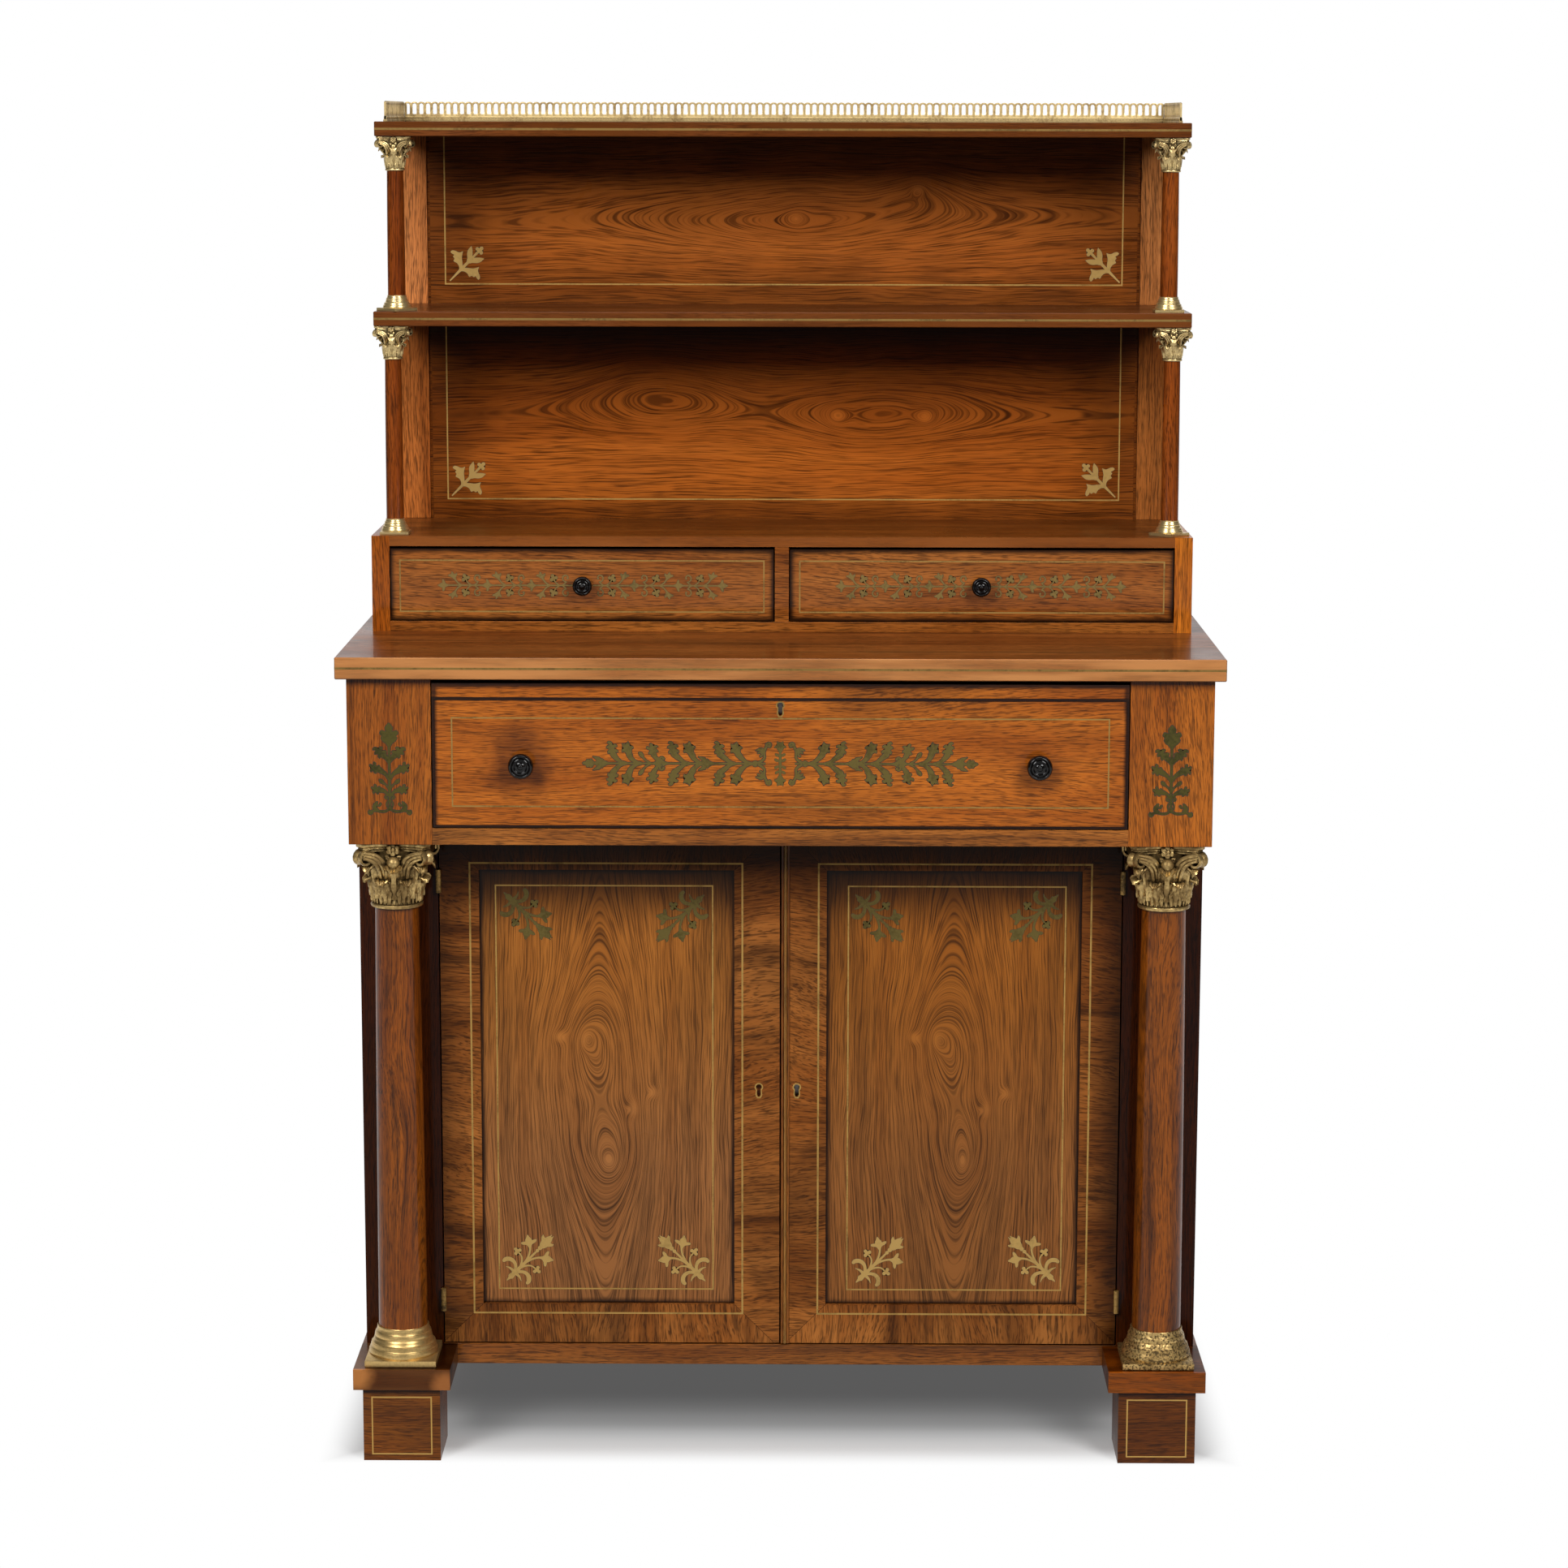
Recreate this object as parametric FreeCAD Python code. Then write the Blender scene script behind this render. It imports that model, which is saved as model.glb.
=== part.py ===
"""Brass-inlaid chiffonier: a two-door cupboard with a deep frieze drawer between square
posts, free-standing columns, a low case of two small drawers and two open shelf tiers.

Millimetres. +Z is up and the front faces -Y. X = 0 is the middle of the width, Y = 0 the
middle of the depth over the drawer knobs, Z = 0 the floor. Nodes are written to parts/.
"""
import FreeCAD, Part
import math
import os

V = FreeCAD.Vector

# ---------------------------------------------------------------- driving dimensions (mm)
WIDTH = 960.0                  # main top board
DEPTH = 438.0
FOOT_H = 84.0                  # floor to the underside of the plinth
PLINTH_T = 23.5
FRIEZE_BOTTOM = 701.0          # underside of the frieze, top of the column capitals
TOP_Z = 908.0                  # upper face of the main top board
TOP_T = 24.0
CASE_H = 108.0                 # small-drawer case, foot to ledge
SHELF_Z = 1250.6               # underside of the middle shelf
CROWN_Z = 1460.0               # underside of the top shelf
SHELF_T = 16.2
GALLERY_H = 22.5

CARCASE_W = 938.0
POST_W = 91.0                  # square posts at the ends of the frieze
DOORWAY_W = 763.0              # clear width between the front stiles
CASE_W = 925.0
SHELF_W = 914.0
CROWN_W = 906.0
STILE_T = 22.0                 # doors and front stiles
SIDE_T = 20.0
BACK_T = 10.0
KNOB_OUT = 11.0                # frieze knobs in front of the main top board

# depths, measured back from the front edge of the main top board
FRIEZE_D = 13.0
PLINTH_D = 10.5
CARCASE_D = 108.0              # doors and front stiles stand back behind the columns
CASE_D = 222.0
SHELF_D = 226.0
PANEL_D = 425.0                # face of the shelf back panels

COLUMN_X = 422.0
COLUMN_D = 58.0
SMALL_COLUMN_D = 247.0
LOWER_COLUMN_X = 437.8
UPPER_COLUMN_X = 432.5

STRING_W = 2.4                 # brass stringing round the edges of boards, let in flush
FINE_W = 1.6                   # brass stringing on fronts and panels
STRING_T = 1.0
GAP = 1.5                      # working gap round doors and drawers
EASE = 0.4                     # running clearance of sliding pieces
KNUCKLE_R = 3.0
HINGE_H = 26.0
HINGE_OUT = 3.4                # hinge axis in front of the door face
HINGE_Z = (160.0, 643.0)
DRAWER_TRAVEL_SLACK = 0.6

FRONT = -(DEPTH - KNOB_OUT) / 2
REAR = FRONT + DEPTH
FRIEZE_Y = FRONT + FRIEZE_D
CARCASE_Y = FRONT + CARCASE_D
CASE_Y = FRONT + CASE_D
SHELF_Y = FRONT + SHELF_D
PANEL_Y = FRONT + PANEL_D
PLINTH_Z = FOOT_H + PLINTH_T
LEDGE_Z = TOP_Z + CASE_H
LEDGE_T = 11.5
HALF = CARCASE_W / 2
POST_X = HALF - POST_W         # inner face of a post
DOORWAY_X = DOORWAY_W / 2
HINGE_X = DOORWAY_X - GAP / 2
HINGE_Y = CARCASE_Y - HINGE_OUT


# ---------------------------------------------------------------- helpers
def box(x0, x1, y0, y1, z0, z1):
    return Part.makeBox(x1 - x0, y1 - y0, z1 - z0, V(x0, y0, z0))


def mirrored(shape):
    return shape.mirror(V(0, 0, 0), V(1, 0, 0))


def pair(shape):
    """A solid and its mirror image across the middle of the piece."""
    return [shape, mirrored(shape)]


def save(name, shapes):
    if isinstance(shapes, (list, tuple)):
        shapes = Part.makeCompound(list(shapes))
    shapes.exportStep("parts/" + name + ".step")


def outline(start, steps, lift):
    """Closed face from a start point. A step (a, b) is a line and (am, bm, a, b) an arc
    through a middle point."""
    edges = []
    here = start
    for step in list(steps) + [start]:
        end = step[-2:]
        if len(step) == 4:
            edges.append(Part.Arc(lift(*here), lift(*step[:2]), lift(*end)).toShape())
        elif math.dist(here, end) > 1e-6:
            edges.append(Part.makeLine(lift(*here), lift(*end)))
        here = end
    return Part.Face(Part.Wire(edges))


SIDES = 24                     # flats round turned work, which keep its facets few
KNOB_SIDES = 12
CHORDS = 2                     # straight cuts that stand for each round of its profile


def profile_points(start, steps, chords):
    """The (radius, height) corners of a profile whose arcs are cut as chords."""
    points = [start]
    for step in steps:
        if len(step) == 4:
            arc = Part.Arc(*[V(a, b, 0) for a, b in (points[-1], step[:2], step[2:])])
            points += [(p.x, p.y) for p in arc.discretize(chords + 1)[1:]]
        else:
            points.append(step)
    return points


def flat_face(points):
    return Part.Face(Part.makePolygon(points + points[:1]))


def turned(start, steps, x=0.0, y=0.0, sides=SIDES, chords=CHORDS):
    """A turned solid about the vertical through (x, y), its profile of (radius, height)
    running from the axis at the foot to the axis at the head."""
    rings = []
    for r, z in profile_points(start, steps, chords)[1:-1]:
        turns = [2 * math.pi * (k + 0.5) / sides for k in range(sides)]
        rings.append([V(x + r * math.cos(a), y + r * math.sin(a), z) for a in turns])
    faces = [flat_face(rings[0]), flat_face(rings[-1])]
    for low, high in zip(rings, rings[1:]):
        for k in range(sides):
            faces.append(flat_face([low[k - 1], low[k], high[k], high[k - 1]]))
    shell = Part.Shell(faces)
    shell.sewShape()
    solid = Part.Solid(shell)
    return solid if solid.Volume > 0 else solid.reversed()


def barrel_blank(radius, length, sides):
    """A round bar on the Z axis cut with flats, its corners on the radius."""
    steps = [(radius, 0), (radius, length), (0, length)]
    return turned((0, 0), steps, sides=sides)


def turned_forward(start, steps, x, y, z):
    """A turned solid about a horizontal axis, its profile heights running out towards -Y."""
    solid = turned(start, steps, sides=KNOB_SIDES)
    solid.rotate(V(0, 0, 0), V(1, 0, 0), 90)
    solid.translate(V(x, y, z))
    return solid


def frame_string(x0, x1, z0, z1, face_y, width=FINE_W, thick=STRING_T):
    """A rectangular brass line let into a front face; its sizes are on the line's middle."""
    h = width / 2
    outer = box(x0 - h, x1 + h, face_y, face_y + thick, z0 - h, z1 + h)
    return outer.cut(box(x0 + h, x1 - h, face_y - 1, face_y + thick + 1, z0 + h, z1 - h))


def edge_string(half, y0, y1, z, width=STRING_W, thick=STRING_T):
    """A brass line let into the front and end edges of a board."""
    outer = box(-half, half, y0, y1, z - width / 2, z + width / 2)
    return outer.cut(box(thick - half, half - thick, y0 + thick, y1 + 1, z - width, z + width))


def keyhole(x, z, grow, y0, y1):
    """A keyhole-shaped prism: a round head over a waisted slot with a rounded foot."""
    r, w, drop = 3.4 + grow, 2.3 + grow, 11.3
    foot = z - drop - grow
    head = [(x + r * math.cos(a), z + r * math.sin(a))
            for a in (math.radians(-50 + 40 * k) for k in range(8))]
    corners = head + [(x - w, foot + w), (x - w * 0.5, foot), (x + w * 0.5, foot), (x + w, foot + w)]
    return flat_face([V(a, y0, b) for a, b in corners]).extrude(V(0, y1 - y0, 0))


# ---------------------------------------------------------------- base carcase
TOP_MORTISE = (11.0, 4.6)      # seat of the frieze lock's bolt: half width, depth
LOCK_D = 26.0                  # middle of the frieze lock's bolt, back from the front edge


def top_board():
    board = box(-WIDTH / 2, WIDTH / 2, FRONT, REAR, TOP_Z - TOP_T, TOP_Z)
    board = board.makeChamfer(1.0, [e for e in board.Edges if e.CenterOfMass.y < REAR - 1])
    half, deep = TOP_MORTISE
    mid = FRONT + LOCK_D
    z = TOP_Z - TOP_T
    board = board.cut(box(-half, half, mid - 4.5, mid + 4.5, z, z + deep))
    return board.cut(top_string())


def top_string():
    return edge_string(WIDTH / 2, FRONT, REAR, TOP_Z - TOP_T / 2)


def upright(x, y, z0, z1, half):
    """A square bar about the vertical through (x, y)."""
    return box(x - half, x + half, y - half, y + half, z0, z1)


def post_tenon(x, y, z0, z1, size):
    """The square tenon that holds a column and its brasses to the boards above and below."""
    return upright(x, y, z0 - size["tenon_l"], z1 + size["tenon_l"], size["tenon"])


BIG = dict(base_h=40.0, cap_h=76.0, neck=24.0, foot=27.3, plinth=39.6, abacus=40.4,
           tenon=9.0, tenon_l=12.0, sides=20, cap_chords=2)
SMALL = dict(base_h=17.5, cap_h=38.0, neck=9.1, foot=9.9, plinth=16.2, abacus=19.2,
             tenon=3.5, tenon_l=6.0, sides=12, cap_chords=1)


def large_tenon():
    return post_tenon(COLUMN_X, FRONT + COLUMN_D, PLINTH_Z, FRIEZE_BOTTOM, BIG)


def frieze_post():
    post = box(POST_X, HALF, FRIEZE_Y, CARCASE_Y + STILE_T, FRIEZE_BOTTOM, TOP_Z - TOP_T)
    return post.cut(large_tenon())


RAIL_T = 18.5


def frieze_rail():
    return box(-POST_X, POST_X, FRIEZE_Y, FRIEZE_Y + 60, FRIEZE_BOTTOM, FRIEZE_BOTTOM + RAIL_T)


DUST_T = 12.0


def dust_board():
    z0, z1 = FRIEZE_BOTTOM, FRIEZE_BOTTOM + DUST_T
    front = box(-POST_X, POST_X, FRIEZE_Y + 60, CARCASE_Y + STILE_T, z0, z1)
    inner = HALF - SIDE_T
    return front.fuse(box(-inner, inner, CARCASE_Y + STILE_T, REAR - BACK_T, z0, z1)).removeSplitter()


GUIDE_X = 374.0 + DRAWER_TRAVEL_SLACK   # outer face of the frieze drawer's side, plus play


def drawer_runners():
    """An L-shaped runner and guide below, and a kicker above, at each side of the drawer."""
    y0, y1 = CARCASE_Y + STILE_T, REAR - BACK_T
    z0, z1 = FRIEZE_BOTTOM + DUST_T, FRIEZE_BOTTOM + RAIL_T
    runner = box(GUIDE_X - 21, GUIDE_X + 13, y0, y1, z0, z1)
    guide = box(GUIDE_X, GUIDE_X + 13, y0, y1, z1, z1 + 26)
    kicker = box(GUIDE_X - 21, GUIDE_X + 13, y0, y1, TOP_Z - TOP_T - 14, TOP_Z - TOP_T)
    return pair(runner.fuse(guide).removeSplitter()) + pair(kicker)


def side_board():
    return box(HALF - SIDE_T, HALF, CARCASE_Y + STILE_T, REAR, PLINTH_Z, TOP_Z - TOP_T)


def hinge_leaf_seat(side):
    """Mortises for the hinge leaves: side +1 is cut in the stile, -1 in the door edge."""
    seats = []
    for z in HINGE_Z:
        x = HINGE_X + side * GAP / 2
        x0, x1 = sorted((x, x + side * 1.2))
        seats.append(box(x0, x1, CARCASE_Y - 1, CARCASE_Y + 18, z - HINGE_H / 2, z + HINGE_H / 2))
    return seats


def front_stile():
    stile = box(DOORWAY_X, HALF, CARCASE_Y, CARCASE_Y + STILE_T, PLINTH_Z, FRIEZE_BOTTOM)
    return stile.cut(Part.makeCompound(hinge_leaf_seat(+1)))


def plinth_board():
    half = HALF + 5
    return box(-half, half, CARCASE_Y, REAR, FOOT_H, PLINTH_Z)


def plinth_pad():
    pad = box(366, HALF + 5, FRONT + PLINTH_D, CARCASE_Y, FOOT_H, PLINTH_Z)
    return pad.cut(large_tenon())


def front_foot():
    foot = box(378, 464, FRONT + 18, FRONT + 101, 0, FOOT_H)
    return foot.cut(foot_string())


def foot_string():
    return frame_string(388, 454, 7.6, 73.4, FRONT + 18)


def rear_foot():
    return box(404, 464, REAR - 66, REAR - 6, 0, FOOT_H)


def back_board():
    inner = HALF - SIDE_T
    return box(-inner, inner, REAR - BACK_T, REAR, PLINTH_Z, TOP_Z - TOP_T)


CUP_SHELF_Z = 395.0


def cupboard_shelf():
    inner = HALF - SIDE_T - 1
    return box(-inner, inner, CARCASE_Y + 44, REAR - BACK_T - 1, CUP_SHELF_Z, CUP_SHELF_Z + 18)


def shelf_batten():
    inner = HALF - SIDE_T
    return box(inner - 12, inner, CARCASE_Y + 44, REAR - BACK_T - 1, CUP_SHELF_Z - 15, CUP_SHELF_Z)


# ---------------------------------------------------------------- columns
def column_shaft(z0, z1, size, x, y):
    """A turned shaft with a slight swelling, on the tenon that runs through its brasses."""
    low, high = z0 + size["base_h"], z1 - size["cap_h"]
    neck, foot = size["neck"], size["foot"]
    swell = (neck + foot) / 2 + 0.02 * foot
    steps = [(foot, low), (swell, (low + high) / 2, neck, high), (0, high)]
    shaft = turned((0, low), steps, x, y, size["sides"])
    return shaft.fuse(post_tenon(x, y, z0, z1, size))


def column_base(z0, size, x, y, turn=0.0):
    """A spun brass base: square plinth, swelling torus, hollow and collar."""
    p, h, foot = size["plinth"], size["base_h"], size["foot"]
    plate_t = h * 0.19
    plate = box(-p, p, -p, p, z0, z0 + plate_t)
    z = z0 + plate_t
    rise = h - plate_t
    steps = [(p * 0.97, z), (p, z + rise * 0.10, p * 0.95, z + rise * 0.22),
             (p * 0.84, z + rise * 0.34, p * 0.82, z + rise * 0.50), (p * 0.80, z + rise * 0.60),
             (foot * 1.10, z + rise * 0.70, foot * 1.05, z + rise * 0.88),
             (foot * 1.06, z + rise), (0, z + rise)]
    body = turned((0, z), steps, sides=size["sides"]).fuse(plate)
    body.rotate(V(0, 0, 0), V(0, 0, 1), turn)
    body.translate(V(x, y, 0))
    return body.cut(upright(x, y, z0 - 1, z0 + h + 1, size["tenon"]))


def acanthus_leaf(reach, z0, z1, curl, width, thick):
    """One leaf blade: a bent strip in the radial plane that stands up and curls outward."""
    rise = z1 - z0
    back, tip = reach - thick, reach + curl
    corners = [(back, z0), (reach + thick, z0), (reach + thick, z0 + rise * 0.6),
               (tip + thick * 0.4, z1 - rise * 0.16), (reach + curl * 0.5, z1), (back, z1 - rise * 0.3)]
    return flat_face([V(r, -width / 2, z) for r, z in corners]).extrude(V(0, width, 0))


def capital(z0, z1, size, leaves, x, y):
    """A Corinthian capital: astragal, bell, rows of leaves, corner scrolls and abacus."""
    neck, a = size["neck"], size["abacus"]
    h = z1 - z0
    lip = a * 0.80
    steps = [(neck * 1.04, z0), (neck * 1.20, z0 + h * 0.05, neck * 1.04, z0 + h * 0.10),
             (neck * 1.04, z0 + h * 0.5, lip, z1 - h * 0.13), (0, z1 - h * 0.13)]
    body = turned((0, z0), steps, sides=size["sides"], chords=size["cap_chords"])
    tip, sag = a * 0.16, a * 0.20
    steps = [(0, -a + sag, a - tip, -a), (a, -a + tip), (a - sag, 0, a, a - tip), (a - tip, a),
             (0, a - sag, -a + tip, a), (-a, a - tip), (-a + sag, 0, -a, -a + tip)]
    slab = outline((-a + tip, -a), steps, lambda p, q: V(p, q, z1 - h * 0.13))
    body = body.fuse(slab.extrude(V(0, 0, h * 0.13)))
    scroll_r = h * 0.105
    for quarter in range(4):
        scroll = barrel_blank(scroll_r, a * 0.34, 8)
        scroll.rotate(V(0, 0, 0), V(1, 0, 0), 90)
        scroll.translate(V(a * 1.17, a * 0.17, z1 - h * 0.2))
        scroll.rotate(V(0, 0, 0), V(0, 0, 1), 45 + 90 * quarter)
        body = body.fuse(scroll)
    for row, turn in leaves:
        leaf = acanthus_leaf(neck * 0.98, z0 + h * 0.10, z0 + h * (0.42 + 0.20 * row),
                             a * (0.20 + 0.10 * row), neck * 0.62, neck * 0.16)
        leaf.rotate(V(0, 0, 0), V(0, 0, 1), turn)
        body = body.fuse(leaf)
    body.translate(V(x, y, 0))
    return body.cut(upright(x, y, z0 - 1, z1 + 1, size["tenon"]))


BIG_LEAVES = [(0, 45 * k) for k in range(8)] + [(1, 45 * k + 22.5) for k in range(8)]
SMALL_LEAVES = [(0, 45 * k) for k in range(8)]


def large_column():
    return column_shaft(PLINTH_Z, FRIEZE_BOTTOM, BIG, COLUMN_X, FRONT + COLUMN_D)


def large_base():
    return column_base(PLINTH_Z, BIG, COLUMN_X, FRONT + COLUMN_D)


def large_capital():
    return capital(FRIEZE_BOTTOM - BIG["cap_h"], FRIEZE_BOTTOM, BIG, BIG_LEAVES,
                   COLUMN_X, FRONT + COLUMN_D)


def small_places():
    """(x, foot, head, plinth turn) of the four small columns; two have a turned plinth."""
    y = FRONT + SMALL_COLUMN_D
    return [(-LOWER_COLUMN_X, y, LEDGE_Z, SHELF_Z, 0), (LOWER_COLUMN_X, y, LEDGE_Z, SHELF_Z, 45),
            (-UPPER_COLUMN_X, y, SHELF_Z + SHELF_T, CROWN_Z, 45),
            (UPPER_COLUMN_X, y, SHELF_Z + SHELF_T, CROWN_Z, 0)]


def small_columns():
    return [column_shaft(z0, z1, SMALL, x, y)
            for x, y, z0, z1, turn in small_places()]


def small_bases():
    return [column_base(z0, SMALL, x, y, turn)
            for x, y, z0, z1, turn in small_places()]


def small_capitals():
    return [capital(z1 - SMALL["cap_h"], z1, SMALL, SMALL_LEAVES, x, y)
            for x, y, z0, z1, turn in small_places()]


def tenon_holes(board):
    """Cuts the mortises of the small columns' tenons in a shelf, a case end or the ledge."""
    for x, y, z0, z1, turn in small_places():
        board = board.cut(post_tenon(x, y, z0, z1, SMALL))
    return board


# ---------------------------------------------------------------- superstructure
CASE_END_T = 20.0
DIVIDER_X = 8.0
CASE_RAIL_T = 11.5


def case_end():
    end = box(CASE_W / 2 - CASE_END_T, CASE_W / 2, CASE_Y, REAR, TOP_Z, LEDGE_Z)
    return end


def case_bottom():
    inner = CASE_W / 2 - CASE_END_T
    return box(-inner, inner, CASE_Y, REAR - 8, TOP_Z, TOP_Z + CASE_RAIL_T)


def case_divider():
    return box(-DIVIDER_X, DIVIDER_X, CASE_Y, REAR - 8, TOP_Z + CASE_RAIL_T, LEDGE_Z - LEDGE_T)


def case_back():
    inner = CASE_W / 2 - CASE_END_T
    return box(-inner, inner, REAR - 8, REAR, TOP_Z, LEDGE_Z - LEDGE_T)


def ledge_board():
    inner = CASE_W / 2 - CASE_END_T
    return box(-inner, inner, CASE_Y, REAR, LEDGE_Z - LEDGE_T, LEDGE_Z)


def back_stiles():
    lower = box(414.7, 450, PANEL_Y, REAR, LEDGE_Z, SHELF_Z)
    upper = box(414.7, 450, PANEL_Y, REAR, SHELF_Z + SHELF_T, CROWN_Z)
    return pair(lower) + pair(upper)


def back_string(z0, z1):
    """Two upright brass lines joined by one along the foot of a shelf back."""
    h = FINE_W / 2
    outer = box(-394 - h, 394 + h, PANEL_Y, PANEL_Y + STRING_T, z0 + 22, z1)
    return outer.cut(box(h - 394, 394 - h, PANEL_Y - 1, PANEL_Y + 2, z0 + 22 + FINE_W, z1 + 1))


def back_panel(z0, z1):
    """A flat panel, rebated down both ends so that a dark groove shows beside the stiles."""
    panel = box(-414.7, 414.7, PANEL_Y + 2.5, REAR, z0, z1)
    panel = panel.fuse(box(-411.2, 411.2, PANEL_Y, PANEL_Y + 2.5, z0, z1)).removeSplitter()
    return panel.cut(back_string(z0, z1))


def shelf(width, z0, thick):
    """A shelf with eased edges and a brass line round its front and ends."""
    board = box(-width / 2, width / 2, SHELF_Y, REAR, z0, z0 + thick)
    board = board.makeChamfer(0.8, [e for e in board.Edges if e.CenterOfMass.y < REAR - 1])
    return tenon_holes(board.cut(shelf_string(width, z0, thick)))


def shelf_string(width, z0, thick):
    return edge_string(width / 2, SHELF_Y, REAR, z0 + thick / 2)


# ---------------------------------------------------------------- pierced brass gallery
ARCH_PITCH = 7.85
ARCH_W = 4.7
ARCH_FOOT = 8.4                # foot of the openings above the shelf
ARCH_H = 12.2
ARCH_CHORDS = 3                # straight cuts that round each arch head
GALLERY_T = 1.6
GALLERY_INSET = 12.0           # from the shelf's ends and back


def arcade(length, count):
    """A pierced strip along +X from the origin: a row of round-headed openings, a moulded
    foot rail and a rolled top edge. It is cut as one outline and pushed through."""
    wires = [Part.makePolygon([V(0, 0, 3), V(length, 0, 3), V(length, 0, GALLERY_H - 1),
                               V(0, 0, GALLERY_H - 1), V(0, 0, 3)])]
    first = (length - (count - 1) * ARCH_PITCH) / 2
    r = ARCH_W / 2
    z0, z1 = ARCH_FOOT, ARCH_FOOT + ARCH_H - r
    arch = [math.pi * k / ARCH_CHORDS for k in range(ARCH_CHORDS + 1)]
    for k in range(count):
        x = first + k * ARCH_PITCH
        head = [V(x + r * math.cos(a), 0, z1 + r * math.sin(a)) for a in arch]
        wires.append(Part.makePolygon(head + [V(x - r, 0, z0), V(x + r, 0, z0), head[0]]))
    strip = Part.makeFace(wires, "Part::FaceMakerBullseye").extrude(V(0, GALLERY_T, 0))
    half = GALLERY_T / 2
    rail = box(0, length, half - 2.2, half + 2.2, 0, 3).fuse(
        box(0, length, half - 1.5, half + 1.5, 3, 6.2))
    bead = box(0, length, half - 1.3, half + 1.3, GALLERY_H - 2.2, GALLERY_H)
    return strip.fuse([rail, bead]).removeSplitter()


def gallery():
    """Back run between two side runs, mitred by butting the back between the sides."""
    z = CROWN_Z + SHELF_T
    x = CROWN_W / 2 - GALLERY_INSET
    back_y = REAR - 9.0
    back = arcade(2 * x - 4.4, 112)
    back.translate(V(-x + 2.2, back_y, z))
    start = SHELF_Y + 6
    side = arcade(back_y + 3.0 - start, 25)
    side.rotate(V(0, 0, 0), V(0, 0, 1), 90)
    side.translate(V(x + GALLERY_T / 2, start, z))
    return [back] + pair(side)


# ---------------------------------------------------------------- drawers
FRIEZE_DRAWER = dict(half=376.8, z0=720.6, z1=878.6, front_t=20.0)
FRIEZE_KNOB_X = 280.0
FRIEZE_KNOB_Z = 790.4


def shank_hole(x, y, z, radius):
    """The hole for a knob's shank, cut with the same flats as the shank."""
    return turned_forward((0, -40), [(radius, -40), (radius, 10), (0, 10)], x, y, z)


def frieze_drawer_front():
    d = FRIEZE_DRAWER
    front = box(-d["half"], d["half"], FRIEZE_Y, FRIEZE_Y + d["front_t"], d["z0"], d["z1"])
    cuts = [frieze_bead(), frieze_stringing(), frieze_escutcheon_seat(), frieze_lock_seat()]
    cuts += [shank_hole(x, FRIEZE_Y, FRIEZE_KNOB_Z, 5.0) for x in (-FRIEZE_KNOB_X, FRIEZE_KNOB_X)]
    return front.cut(Part.makeCompound(cuts))


def frieze_bead():
    """A cock bead round the drawer's field, standing a little proud of it."""
    d = FRIEZE_DRAWER
    y0, y1 = FRIEZE_Y - 1.2, FRIEZE_Y + 6
    outer = box(-d["half"], d["half"], y0, y1, d["z0"], 863.5)
    return outer.cut(box(-d["half"] + 2.6, d["half"] - 2.6, y0 - 1, y1 + 1, d["z0"] + 2.6, 860.6))


def frieze_stringing():
    return frame_string(-355.5, 355.5, 743.8, 840.8, FRIEZE_Y)


def frieze_escutcheon_seat():
    return keyhole(0, 855.2, 1.6, FRIEZE_Y - 0.01, FRIEZE_Y + STRING_T).fuse(
        keyhole(0, 855.2, 0, FRIEZE_Y, FRIEZE_Y + 11))


def escutcheon(x, z, y):
    return keyhole(x, z, 1.6, y, y + STRING_T).cut(keyhole(x, z, 0, y - 1, y + 3))


def frieze_lock_seat():
    y1 = FRIEZE_Y + FRIEZE_DRAWER["front_t"]
    return box(-26, 26, FRIEZE_Y + 9, y1, 832, FRIEZE_DRAWER["z1"])


BOLT_T, BOLT_W = 6.0, 16.0


def frieze_lock():
    """A box lock let into the back of the drawer front, with the bolt's channel in it."""
    y1 = FRIEZE_Y + FRIEZE_DRAWER["front_t"]
    mid = FRONT + LOCK_D
    case = box(-26, 26, FRIEZE_Y + 9, y1, 832, FRIEZE_DRAWER["z1"])
    case = case.cut(box(-BOLT_W / 2 - EASE, BOLT_W / 2 + EASE, mid - BOLT_T / 2 - EASE,
                        mid + BOLT_T / 2 + EASE, 856, 900))
    return case.cut(keyhole(0, 855.2, 0, FRIEZE_Y, FRIEZE_Y + 9.5))


def frieze_bolt():
    mid = FRONT + LOCK_D
    return box(-BOLT_W / 2, BOLT_W / 2, mid - BOLT_T / 2, mid + BOLT_T / 2, 857, 878.2)


def frieze_drawer_box():
    """Two sides and a back of 12 mm stuff, and a 6 mm bottom between them."""
    y0, y1 = FRIEZE_Y + FRIEZE_DRAWER["front_t"], REAR - BACK_T - 12
    z0 = FRIEZE_BOTTOM + RAIL_T + EASE
    side = box(362, 374, y0, y1, z0, 868)
    back = box(-362, 362, y1 - 12, y1, z0 + 4, 862)
    bottom = box(-362, 362, y0, y1 - 12, z0 + 4, z0 + 10)
    return pair(side) + [back, bottom]


def knob(x, y, z, radius, length, shank_r, shank_l):
    """A turned knob: flared neck, dished face with a raised rim and centre, and a shank."""
    r, n = radius, length
    start = (0, -shank_l)
    steps = [(shank_r, -shank_l), (shank_r, 0), (r * 0.62, 0.01),
             (r * 0.40, n * 0.22, r * 0.62, n * 0.48),
             (r * 1.02, n * 0.60, r, n * 0.78), (r * 0.93, n * 0.95, r * 0.80, n * 0.95),
             (r * 0.66, n * 0.84), (r * 0.45, n * 0.90), (r * 0.2, n), (0, n)]
    return turned_forward(start, steps, x, y, z)


def frieze_drawer_knobs():
    return [knob(x, FRIEZE_Y, FRIEZE_KNOB_Z, 14.5, 24, 5.0, 20)
            for x in (-FRIEZE_KNOB_X, FRIEZE_KNOB_X)]


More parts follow.
